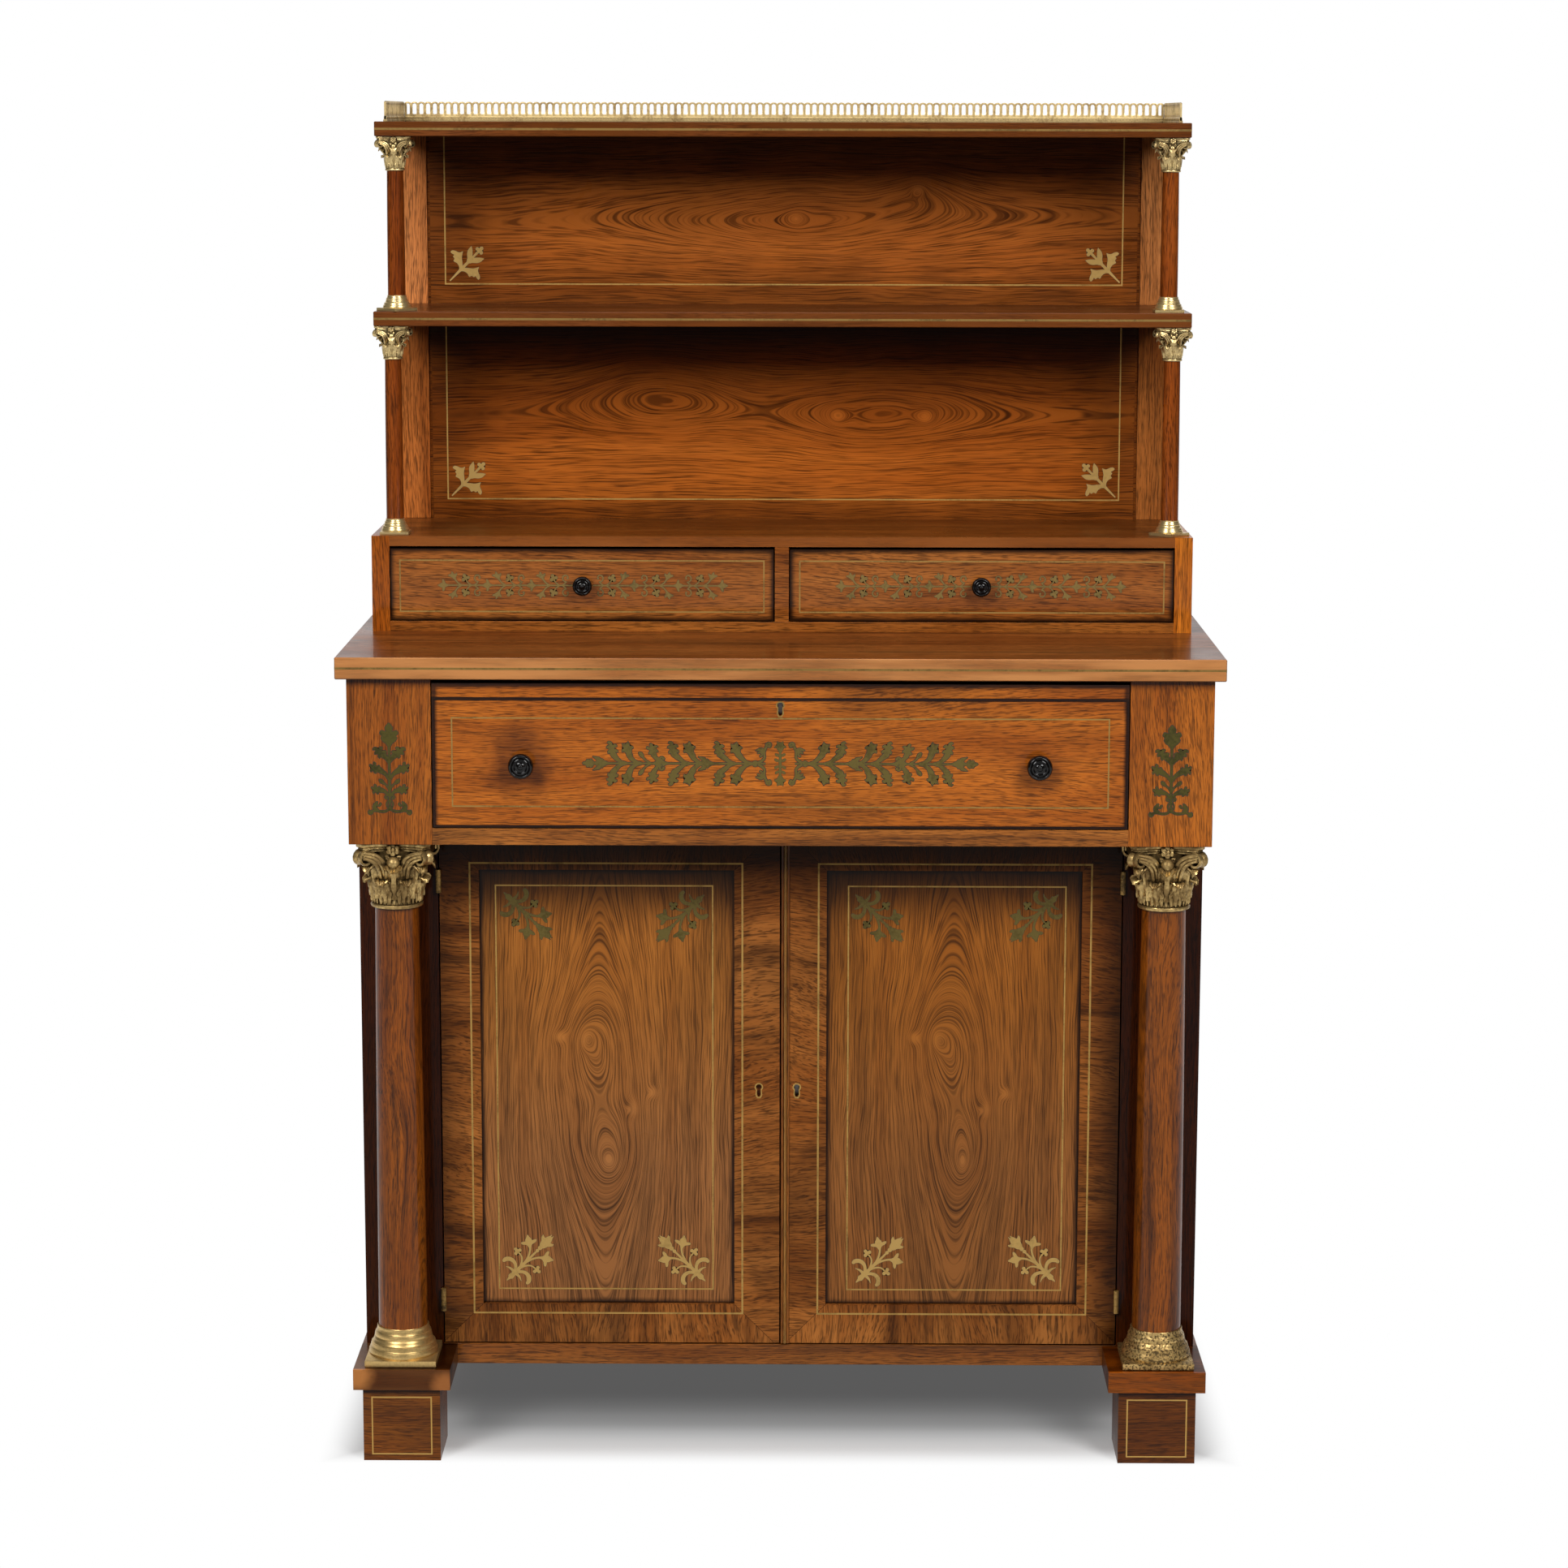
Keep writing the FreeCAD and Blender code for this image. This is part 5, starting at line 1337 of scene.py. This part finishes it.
class CHIFFONIER_OT_stage(bpy.types.Operator):
    """Build the floor, the backdrop, the lamps and the camera"""
    bl_idname = "chiffonier.stage"
    bl_label = "Stage"

    def execute(self, context):
        s = settings("stage")
        scene = context.scene
        scene.view_settings.view_transform = "Standard"
        world = bpy.data.worlds.new("Plain room")
        world.use_nodes = True
        scene.world = world
        back = world.node_tree.nodes["Background"]
        g = Graph(world.node_tree)
        seen = g.node("ShaderNodeLightPath").outputs["Is Camera Ray"]
        wire(g, back, Color=(1, 1, 1, 1), Strength=g.math("MAXIMUM", seen, s.ambient))
        self.floor()
        self.backdrop(s)
        for side in (-1, 1):
            self.lamp("Softbox_" + ("right" if side > 0 else "left"), s.key,
                      (side * 2.2, -3.5, 3.15), (0, -0.1, 0.75), 1.5, 2.0)
        self.lamp("Overhead", s.fill, (0, -0.9, 4.2), (0, 0, 0.5), 2.4, 1.6)
        self.camera(s)
        return {"FINISHED"}

    def seen(self, g):
        """1 for camera, glossy and transmission rays."""
        path = g.node("ShaderNodeLightPath").outputs
        some = g.math("MAXIMUM", path["Is Camera Ray"], path["Is Glossy Ray"])
        return g.math("MAXIMUM", some, path["Is Transmission Ray"])

    def sheet(self, name, points, material):
        mesh = bpy.data.meshes.new(name)
        mesh.from_pydata(points, [], [tuple(range(len(points)))])
        mesh.materials.append(material)
        made = new_object(name, mesh)

    def floor(self):
        """Matt white, holding the shadow near the feet and plain white further away.

        Under the piece, between the feet, a painted shadow darkens it.
        """
        material, g, shader = new_material("White floor")
        tree = material.node_tree
        tree.nodes.remove(shader)
        x, y, _ = g.split(g.place())
        beside = g.less(g.math("ABSOLUTE", x), 0.45)
        before = g.less(-0.14, y)
        behind = g.less(y, 0.5)
        far = g.ease(g.math("MAXIMUM", g.math("MAXIMUM", beside, before), behind), 0.0, 0.07)
        seen = self.seen(g)
        # Painted shadow: between the feet and under the piece the floor colour falls from 0.62 to
        # 0.2.
        under = g.times(g.ease(beside, -0.11, -0.05, 1.0, 0.0), g.ease(y, -0.15, -0.04))
        pale = g.blend(under, (0.62, 0.62, 0.62), (0.2, 0.2, 0.2))
        matt = g.node("ShaderNodeBsdfDiffuse")
        wire(g, matt, Color=g.blend(seen, (0.06, 0.06, 0.06), pale))
        lift = g.node("ShaderNodeEmission")
        wire(g, lift, Strength=g.times(seen, 0.10))
        near = g.node("ShaderNodeAddShader")
        mix = g.node("ShaderNodeMixShader")
        for shade, parts in ((near, (matt.outputs[0], lift.outputs[0])),
                             (mix, (g.times(far, seen), near.outputs[0],
                                    g.node("ShaderNodeEmission").outputs[0]))):
            for socket, value in zip(shade.inputs, parts):
                g.put(socket, value)
        wire(g, tree.nodes["Material Output"], Surface=mix.outputs[0])
        self.sheet("Floor", [(x * ROOM, y * ROOM, 0) for x, y in (
            (-1, -1), (1, -1), (1, 1), (-1, 1))], material)

    def backdrop(self, s):
        """A white wall behind, which lights the room no more than the rest of it."""
        material, g, shader = new_material("White backdrop")
        tree = material.node_tree
        tree.nodes.remove(shader)
        glow = g.node("ShaderNodeEmission")
        wire(g, glow, Strength=g.math("MAXIMUM", self.seen(g), s.ambient))
        wire(g, tree.nodes["Material Output"], Surface=glow.outputs[0])
        self.sheet("Backdrop", [(x * ROOM, 8.9, z * ROOM) for x, z in (
            (-1, 0), (1, 0), (1, 1), (-1, 1))], material)

    def lamp(self, name, power, place, target, width, height):
        light = bpy.data.lights.new(name, "AREA")
        light.shape = "RECTANGLE"
        light.size, light.size_y = width, height
        light.energy = power
        made = new_object(name, light)
        made.location = place
        made.rotation_euler = (Vector(target) - Vector(place)).to_track_quat("-Z", "Y").to_euler()

    def camera(self, s):
        data = bpy.data.cameras.new("Camera")
        data.lens = s.lens
        data.sensor_width = 36.0
        data.clip_end = 60
        made = new_object("Camera", data)
        place, (yaw, pitch, roll) = (0.0292, -4.3758, 1.4774), (0.006, -0.168, 0.002)
        ahead = Vector((-sin(yaw) * cos(pitch), cos(yaw) * cos(pitch), sin(pitch)))
        level = ahead.cross(Vector((0, 0, 1))).normalized()
        above = level.cross(ahead)
        right = level * cos(roll) + above * sin(roll)
        up = right.cross(ahead)
        turn = Matrix((right, up, -ahead)).transposed().to_4x4()
        made.matrix_world = Matrix.Translation(place) @ turn
        bpy.context.scene.camera = made


class CHIFFONIER_OT_boards(bpy.types.Operator):
    """Polish the boards of the carcase and of the shelves above it"""
    bl_idname = "chiffonier.boards"
    bl_label = "Boards"

    def execute(self, context):
        wear = settings("wood").edge_wear
        veneer("top_board", "Top board", "X", 1.3, 0.8, 0.8, (0.60, 0.61, 0.76),
               pale_edge=(TOP_Y + 0.0002, 0.0014, (0.56, 0.235, 0.072)))
        veneer("frieze_posts", "Post", "Z", 2.1, 0.9, 0.45, (0.95, 0.95, 0.68), wear,
               wash=(across((0.88, 0.88, 0.9), (1.04, 1.05, 0.98)),))
        veneer("frieze_rail", "Frieze rail", "X", 3.3, 0.6, 0.7, (0.86, 1.0, 1.1), wear)
        veneer("side_right side_left", "Side", "Z", 4.4, 0.8, 0.5, (0.46, 0.40, 0.34), wear,
               polish=0.07)
        # Painted shade: the stiles behind the columns get a near-black tint for the columns'
        # shadow.
        veneer("front_stiles", "Stile", "Z", 4.9, 0.6, 0.6, (0.14, 0.10, 0.07), polish=0.08)
        veneer("plinth_board", "Plinth", "X", 5.3, 0.8, 0.8, (0.63, 0.70, 0.72), wear)
        pad_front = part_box("plinth_pads")[0].y
        veneer("plinth_pads", "Pad", "X", 5.9, 0.9, 0.9, (0.46, 0.37, 0.14), wear, polish=0.14,
               stains=(((-0.470, 0.100), 0.022, 0.8, (0.60, 0.23, 0.06)),
                       ((-0.372, 0.090), 0.018, 0.8, (0.42, 0.15, 0.04))),
               wash=(across((0.28, 0.24, 0.16), (2.25, 2.2, 1.1)),),
               # Painted shade: the tops and sides of the pads, behind their fronts, are darkened.
               dusk=(("Y", pad_front + 0.0012, pad_front + 0.006, 0.72),),
               pale_edge=(pad_front + 0.0001, 0.0009, (0.13, 0.045, 0.011)))
        veneer("front_feet", "Foot", "X", 6.4, 1.0, 0.7, (0.43, 0.43, 0.34),
               wash=(across((1.24, 1.25, 1.05), (0.70, 0.64, 0.48)),))
        veneer("case_ends", "Box end", "Z", 7.1, 0.6, 0.5, (1.35, 1.45, 0.95),
               wash=(across((0.62, 0.53, 0.47), (1, 1, 1)),))
        veneer("case_bottom case_divider", "Box board", "X", 7.7, 0.5, 0.4, (0.70, 0.78, 0.85),
               wear)
        # Painted highlight: the left back stiles are washed brighter for a reflection.
        # The stiles are also darker below the middle shelf.
        veneer("back_stiles", "Back stile", "Z", 8.2, 0.6, 0.3, (1.15, 1.4, 2.2), wear,
               wash=(across((1.2, 1.15, 1.25), (0.86, 0.9, 1.0)),
                     ("Z", 1.24, 1.27, (0.74, 0.66, 0.52), (1.04, 1.08, 1.2))))
        for names, title, seed, streaks, tint, front, pale in (
                ("ledge_board", "Ledge", 8.9, 0.85, (0.47, 0.47, 0.44), CASE_Y,
                 (0.25, 0.075, 0.015)),
                ("middle_shelf", "Middle shelf", 9.4, 0.9, SHELF_TINT, MIDDLE_LOW.y,
                 (0.15, 0.042, 0.008)),
                ("top_shelf", "Top shelf", 9.9, 0.9, SHELF_TINT, CROWN_LOW.y,
                 (0.11, 0.030, 0.005))):
            veneer(names, title, "X", seed, 0.8, streaks, tint,
                   pale_edge=(front + 0.0002, 0.0012, pale))
        veneer("upper_back_panel", "Upper back", "X", 11.3, 0.35, 0.2, (1.0, 0.98, 0.95),
               rings=0.25, calm=0.3, ridge=1.366, polish=0.15, eyes=(
                   (0.03, 1.366, 3.6, 0.050, 0.045), (0.1556, 1.401, 1.6, 0.028, 0.026),
                   (0.0140, 1.3690, 1.3, 0.009, 0.014), (0.1556, 1.401, 1.2, 0.008, 0.013)),
               # Painted shade with dirt: the upper back darkens over 70 mm inside its edges, under
               # the shelves.
               grime=((0.0, 1.366), (0.40, 0.098), 0.07, 0.6))
        veneer("lower_back_panel", "Lower back", "X", 12.6, 0.35, 0.2, (1.04, 0.96, 0.72),
               rings=0.25, calm=0.3, ridge=1.140, polish=0.15, eyes=(
                   (-0.139, 1.160, 2.4, 0.036, 0.038), (0.115, 1.138, 2.8, 0.040, 0.036),
                   (0.063, 1.1370, 1.3, 0.009, 0.014), (0.166, 1.1345, 1.3, 0.009, 0.014)),
               # Painted shade with dirt round the edges, and a painted shadow from 1.185 m up under
               # the middle shelf.
               grime=((0.0, 1.128), (0.40, 0.125), 0.07, 0.6), dusk=(("Z", 1.185, 1.244, 0.93),))
        return {"FINISHED"}


class CHIFFONIER_OT_fronts(bpy.types.Operator):
    """Veneer the drawer fronts, the door frames and the door panels"""
    bl_idname = "chiffonier.fronts"
    bl_label = "Drawer and door fronts"

    def execute(self, context):
        veneer("frieze_drawer_front", "Frieze drawer", "X", 21.0, 0.7, 0.12, (1.04, 1.0, 0.64),
               # Dirt and painted shade inside the edges of the frieze drawer.
               grime=((0.0, 0.7988), (0.3742, 0.0780), 0.0045, 0.85), rings=0.15,
               stains=(((-0.2830, 0.7950), 0.050, 0.62), ((0.2790, 0.7850), 0.034, 0.4)))
        veneer("frieze_drawer_bead", "Cock bead", "X", 21.7, 0.4, 0.5, (0.06, 0.05, 0.045))
        for side, sign, seed in (("right", 1, 23.0), ("left", -1, 25.4)):
            veneer(side + "_drawer_front", side.title() + " drawer", "X", seed, 0.7, 0.15,
                   (0.70, 0.80, 1.0), rings=0.15,
                   # Dirt and painted shade inside the edges of the small drawers.
                   grime=((sign * 0.22525, 0.96115), (0.21605, 0.04035), 0.007, 0.95))
        opening = (0.14225, 0.2505)
        for side, sign, seed, tint in (("right", 1, 31.0, (0.76, 0.88, 1.15)),
                                       ("left", -1, 34.6, (0.75, 0.90, 1.25))):
            veneer(side + "_door_frame", side.title() + " door frame", "X", seed, 1.4, 0.75, tint,
                   crossband=((sign * DOOR_MIDDLE[0], DOOR_MIDDLE[1]), opening), polish=0.06,
                   # Painted shadow: the top of the doors under the frieze, and the outer stiles
                   # beside the columns.
                   dusk=(("Z", 0.65, 0.685, 0.85),
                         ("X", sign * 0.335, sign * 0.382, 0.45 + sign * 0.2)),
                   wash=(("Z", 0.12, 0.16, (1.25, 1.35, 1.5), (1, 1, 1)),))
        veneer("meeting_bead", "Meeting bead", "Z", 36.2, 0.5, 0.6, (0.60, 0.70, 0.75))
        for side, sign, shift, tint in (("right", 1, 0.0, (0.72, 0.92, 1.4)),
                                        ("left", -1, -0.397, (0.82, 1.12, 2.1))):
            eyes = [(u, v + shift, stretch, size, bulge) for u, v, stretch, size, bulge in (
                (0.395, 0.190, 1.9, 0.085, 0.040), (0.455, 0.182, 1.4, 0.038, 0.026),
                (0.332, 0.208, 1.5, 0.032, 0.026), (0.462, 0.178, 1.4, 0.010, 0.016),
                (0.464, 0.150, 1.0, 0.008, 0.011), (0.381, 0.230, 1.3, 0.008, 0.012),
                (0.400, 0.256, 1.0, 0.007, 0.010), (0.320, 0.203, 1.5, 0.010, 0.016))]
            veneer(side + "_door_panel", side.title() + " panel", "Z", 41.0, 0.3, 0.2, tint,
                   calm=0.5, ridge=0.196 + shift, eyes=eyes, polish=0.12,
                   # Painted shadow at the top of the panel, under the frieze.
                   dusk=(("Z", 0.575, 0.66, 0.85),),
                   wash=(("Z", 0.28, 0.56, (0.90, 0.92, 1.0), (1.10, 1.0, 0.60)),),
                   # Painted shade with dirt inside the panel's edges, where the frame shades it.
                   grime=((sign * DOOR_MIDDLE[0], DOOR_MIDDLE[1]), opening, 0.007, 0.95))
        return {"FINISHED"}


class CHIFFONIER_OT_linings(bpy.types.Operator):
    """Finish the drawer linings, the inside of the cupboard and the back"""
    bl_idname = "chiffonier.linings"
    bl_label = "Linings and back"

    def execute(self, context):
        wood = settings("wood")
        for names, title, depth, grain, seed in (
                ("frieze_drawer_box right_drawer_box left_drawer_box", "Drawer lining",
                 1.0, "Y", 51.0),
                ("dust_board cupboard_shelf shelf_battens", "Carcase wood", 0.7, "X", 52.4),
                ("drawer_runners", "Runner wood", 0.62, "Y", 53.8),
                ("back_boards rear_feet", "Back wood", 0.42, "Z", 55.1)):
            finish_nodes(names, plain_wood(title, [c * depth for c in wood.lining], grain, seed),
                         wood.edge_wear)
        return {"FINISHED"}


class CHIFFONIER_OT_columns(bpy.types.Operator):
    """Turn the large and the small column shafts"""
    bl_idname = "chiffonier.columns"
    bl_label = "Column shafts"

    def execute(self, context):
        large = rosewood("Column rosewood", "Z", 61.0, 1.6, 1.0, (0.66, 0.60, 0.24), rings=0.5,
                         polish=0.33)
        small = rosewood("Small column rosewood", "Z", 62.0, 0.8, 0.6, (0.54, 0.42, 0.33),
                         polish=0.4)
        for size, finish in ((LARGE, large), (SMALL, small)):
            bm = bmesh.new()
            for x, y, low, high, _ in size["places"]:
                add_lathe(bm, shaft_profile(size, (high - low) / MM), steps_round(size),
                          placed(x, y, low))
            put_on_columns(size, "_column_shafts", "columns", bm, 32, finish)
        return {"FINISHED"}


class CHIFFONIER_OT_bases(bpy.types.Operator):
    """Spin the brass bases of the columns"""
    bl_idname = "chiffonier.bases"
    bl_label = "Column bases"

    def execute(self, context):
        tone = settings("brass")
        large = brass("Large base brass", (0.62, 0.42, 0.16), (0.30, 0.19, 0.065), 0.4, 0.36,
                      pits=0.85, worn_side=True, metallic=0.85)
        small = brass("Small base brass", tone.cast, tone.dull, 0.3, 0.28, metallic=0.8)
        for size, finish in ((LARGE, large), (SMALL, small)):
            bm = bmesh.new()
            for x, y, low, _, turn in size["places"]:
                matrix = placed(x, y, low, turn)
                add_lathe(bm, base_profile(size), steps_round(size), matrix)
                add_plinth(bm, size, matrix)
            put_on_columns(size, "_column_bases", "bases", bm, 38, finish)
        return {"FINISHED"}


class CHIFFONIER_OT_capitals(bpy.types.Operator):
    """Cast the acanthus capitals of the columns"""
    bl_idname = "chiffonier.capitals"
    bl_label = "Capitals"

    def execute(self, context):
        tone = settings("brass")
        # hollows: tarnish and painted shade in the hollows of the capitals.
        large = brass("Large capital brass", (0.62, 0.43, 0.17), (0.26, 0.165, 0.06), 0.72, 0.32,
                      hollows=0.8, pits=0.2, metallic=0.85)
        small = brass("Small capital brass", tone.cast, tone.dull, 0.45, 0.34, hollows=0.75,
                      pits=0.2, metallic=0.8)
        for size, finish in ((LARGE, large), (SMALL, small)):
            mesh, bm = capital_mesh(size, finish), bmesh.new()
            for x, y, _, high, _ in size["places"]:
                take(bm, mesh, placed(x, y, high - size["cap"] * MM))
            put_on_columns(size, "_capitals", "capitals", bm, 40, finish)
        return {"FINISHED"}


class CHIFFONIER_OT_gallery(bpy.types.Operator):
    """Pierce the brass gallery round the top shelf"""
    bl_idname = "chiffonier.gallery"
    bl_label = "Gallery"

    def execute(self, context):
        tone = settings("brass")
        # hollows: tarnish and painted shade in the hollows of the gallery.
        finish = brass("Gallery brass", tone.cast, tone.dull, 0.5, 0.38, hollows=0.75, metallic=0.7)
        low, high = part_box("gallery")
        x, z = high.x - RAIL_HALF * MM, low.z
        bm = bmesh.new()
        length = (2 * x - 2 * RAIL_HALF * MM) / MM
        add_gallery_run(bm, length, finish, placed(-length / 2 * MM, high.y - RAIL_HALF * MM, z))
        deep = (high.y - low.y) / MM
        add_gallery_run(bm, deep, finish, placed(-x, high.y, z, -90))
        add_gallery_run(bm, deep, finish, placed(x, low.y, z, 90))
        put_piece("Gallery", finish_mesh(bm, "gallery"), finish, "carcase", ["gallery"])
        return {"FINISHED"}


class CHIFFONIER_OT_knobs(bpy.types.Operator):
    """Turn the ebonised knobs of the drawers"""
    bl_idname = "chiffonier.knobs"
    bl_label = "Knobs"

    def execute(self, context):
        finish, steps = ebony(), settings("turning").steps
        forward = Matrix.Rotation(pi / 2, 4, "X")
        for name, node, body, face, length in (
                ("Frieze_knobs", "frieze_drawer_knobs", "frieze_drawer", FRIEZE_Y, 24.0),
                ("Right_drawer_knob", "right_drawer_knob", "right_drawer", CASE_Y, 19.0),
                ("Left_drawer_knob", "left_drawer_knob", "left_drawer", CASE_Y, 19.0)):
            low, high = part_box(node)
            r = (high.z - low.z) / 2 / MM
            z = (low.z + high.z) / 2
            xs = ((low.x + r * MM, high.x - r * MM) if name == "Frieze_knobs"
                  else ((low.x + high.x) / 2,))
            bm = bmesh.new()
            for x in xs:
                add_lathe(bm, knob_profile(r * 0.985, length), steps,
                          Matrix.Translation((x, face, z)) @ forward @ Matrix.Scale(MM, 4))
            put_piece(name, finish_mesh(bm, name, 50), finish, body, [node])
        return {"FINISHED"}


class CHIFFONIER_OT_stringing(bpy.types.Operator):
    """Finish the brass lines let into edges, drawers and doors"""
    bl_idname = "chiffonier.stringing"
    bl_label = "Brass lines"

    def execute(self, context):
        line = settings("brass").line
        feet = (0.09, [min(c * 1.25, 1) for c in line])
        for names, title, bright, dull, rough, low in (
                ("edge_stringing", "Edge", 0.55, 0.3, 0.45, feet),
                ("frieze_drawer_inlay right_drawer_stringing left_drawer_stringing", "Drawer",
                 0.75, 0.4, 0.45, None),
                ("shelf_back_stringing right_door_inlay left_door_inlay", "Door",
                 1.0, 0.6, 0.42, None)):
            finish_nodes(names, brass(title + " line brass", [c * bright for c in line],
                                      [c * dull for c in line], 0.5, rough, metallic=0.25,
                                      low=low))
        return {"FINISHED"}


class CHIFFONIER_OT_sprays(bpy.types.Operator):
    """Let the foliate brass into the frieze, the posts, the drawers, the doors and the backs"""
    bl_idname = "chiffonier.sprays"
    bl_label = "Foliate inlay"

    def execute(self, context):
        tone = settings("brass")
        border = mastic()
        aged = brass("Greened inlay brass", (0.135, 0.100, 0.026), (0.085, 0.062, 0.016), 0.5, 0.5,
                     metallic=0.15)
        green = brass("Green post brass", (0.080, 0.066, 0.014), (0.042, 0.037, 0.009), 0.5, 0.5,
                      metallic=0.1)
        gold = brass("Golden inlay brass", tone.leaf, [c * 0.75 for c in tone.leaf], 0.4, 0.42,
                     metallic=0.3)
        warm = brass("Dull inlay brass", (0.23, 0.155, 0.048), (0.12, 0.09, 0.03), 0.5, 0.42,
                     metallic=0.3)
        spray = door_spray()
        for side, upper, lower in (
                ("right", [(0.0835, 0.6274, -45), (0.3094, 0.6279, 225)],
                 [(0.0862, 0.1794, 45), (0.3117, 0.1813, 135)]),
                ("left", [(-0.3088, 0.6288, -45), (-0.0854, 0.6266, 225)],
                 [(-0.3098, 0.1803, 45), (-0.0845, 0.1803, 135)])):
            for level, places, finish in (("upper", upper, aged), ("lower", lower, gold)):
                lay_inlay(side.title() + "_door_" + level + "_sprays", spray, places, PANEL_Y,
                          side + "_door", finish, border)
        lay_inlay("Shelf_back_sprays", shelf_spray(), [
            (0.3912, 1.2927, 135), (-0.3889, 1.2932, 45), (0.3902, 1.0422, 135),
            (-0.3895, 1.0422, 45)], SHELF_BACK_Y, "carcase", gold, border)
        lay_inlay("Post_sprays", post_spray(), [(0.4235, 0.7345, 90), (-0.4235, 0.7345, 90)],
                  POST_Y, "carcase", green, border, WIDE_SEAM)
        lay_inlay("Frieze_band", both_ends(frieze_half()), [(0.0, FRIEZE_MIDDLE_Z, 0)], FRIEZE_Y,
                  "frieze_drawer", aged, border, WIDE_SEAM)
        lay_inlay("Frieze_heart", frieze_heart(), [(0.0, FRIEZE_MIDDLE_Z, 90)], FRIEZE_Y,
                  "frieze_drawer", aged, border)
        unit = drawer_unit()
        for side, middle in (("Right", 0.2245), ("Left", -0.2245)):
            places = [(middle + way * (0.0124 + 0.0497 * k), BAND_Z, turn)
                      for k in range(3) for way, turn in ((1, 0), (-1, 180))]
            lay_inlay(side + "_drawer_band", unit, places, CASE_Y, side.lower() + "_drawer",
                      warm, border)
        return {"FINISHED"}


class CHIFFONIER_OT_ironwork(bpy.types.Operator):
    """Finish the hinges and locks and drive their screws"""
    bl_idname = "chiffonier.ironwork"
    bl_label = "Hinges and locks"

    def execute(self, context):
        tone = settings("brass")
        hinge = brass("Hinge brass", tone.line, tone.tarnish, 0.6, 0.45, metallic=0.5)
        steel = filed_steel()
        finish_nodes("fixed_hinges right_door_hinges left_door_hinges", hinge)
        finish_nodes("frieze_drawer_lock frieze_lock_bolt right_door_lock right_door_bolt", steel)
        head = screw_mesh()
        column = repeated(head, 3, hinge, (0, SCREW_PITCH, 0))
        low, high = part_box("fixed_hinges")
        middle = (low.z + HINGE_HALF, high.z - HINGE_HALF)
        y = DOOR_Y + 10 * MM
        for name, body, places in (
                ("Fixed_hinge_screws", "carcase", [(s * 0.3815, -s) for s in (-1, 1)]),
                ("Right_hinge_screws", "right_door", [(0.380, 1)]),
                ("Left_hinge_screws", "left_door", [(-0.380, -1)])):
            bm = bmesh.new()
            for x, facing in places:
                for z in middle:
                    turn = Matrix(((0, 0, facing, 0), (facing, 0, 0, 0), (0, 1, 0, 0),
                                   (0, 0, 0, 1)))
                    take(bm, column, Matrix.Translation((x, y, z - SCREW_PITCH * MM)) @ turn
                         @ Matrix.Scale(MM, 4))
            put_piece(name, finish_mesh(bm, name), hinge, body)
        return {"FINISHED"}


STEPS = (CHIFFONIER_OT_stage, CHIFFONIER_OT_boards, CHIFFONIER_OT_fronts, CHIFFONIER_OT_linings,
         CHIFFONIER_OT_columns, CHIFFONIER_OT_bases, CHIFFONIER_OT_capitals,
         CHIFFONIER_OT_gallery, CHIFFONIER_OT_knobs, CHIFFONIER_OT_stringing,
         CHIFFONIER_OT_sprays, CHIFFONIER_OT_ironwork)
GROUPS = {"wood": ChiffonierWood, "brass": ChiffonierBrass, "turning": ChiffonierTurning,
          "gallery": ChiffonierGallery, "stage": ChiffonierStage}


class CHIFFONIER_PT_panel(bpy.types.Panel):
    """Settings and steps of the chiffonier"""
    bl_label = "Chiffonier"
    bl_idname = "CHIFFONIER_PT_panel"
    bl_space_type = "VIEW_3D"
    bl_region_type = "UI"
    bl_category = "Chiffonier"

    def draw(self, context):
        for name, group in GROUPS.items():
            box = self.layout.box()
            box.label(text=name.title())
            for key in group.__annotations__:
                box.prop(getattr(context.scene, "chiffonier_" + name), key)
        for step in STEPS:
            self.layout.operator(step.bl_idname)


def register():
    for group in GROUPS.values():
        bpy.utils.register_class(group)
    for name, group in GROUPS.items():
        setattr(bpy.types.Scene, "chiffonier_" + name, bpy.props.PointerProperty(type=group))
    for step in STEPS:
        bpy.utils.register_class(step)
    bpy.utils.register_class(CHIFFONIER_PT_panel)


def unregister():
    bpy.utils.unregister_class(CHIFFONIER_PT_panel)
    for step in reversed(STEPS):
        bpy.utils.unregister_class(step)
    for name in GROUPS:
        delattr(bpy.types.Scene, "chiffonier_" + name)
    for group in reversed(list(GROUPS.values())):
        bpy.utils.unregister_class(group)


def main():
    register()
    for step in STEPS:
        area, name = step.bl_idname.split(".")
        getattr(getattr(bpy.ops, area), name)()


if __name__ == "__main__":
    main()
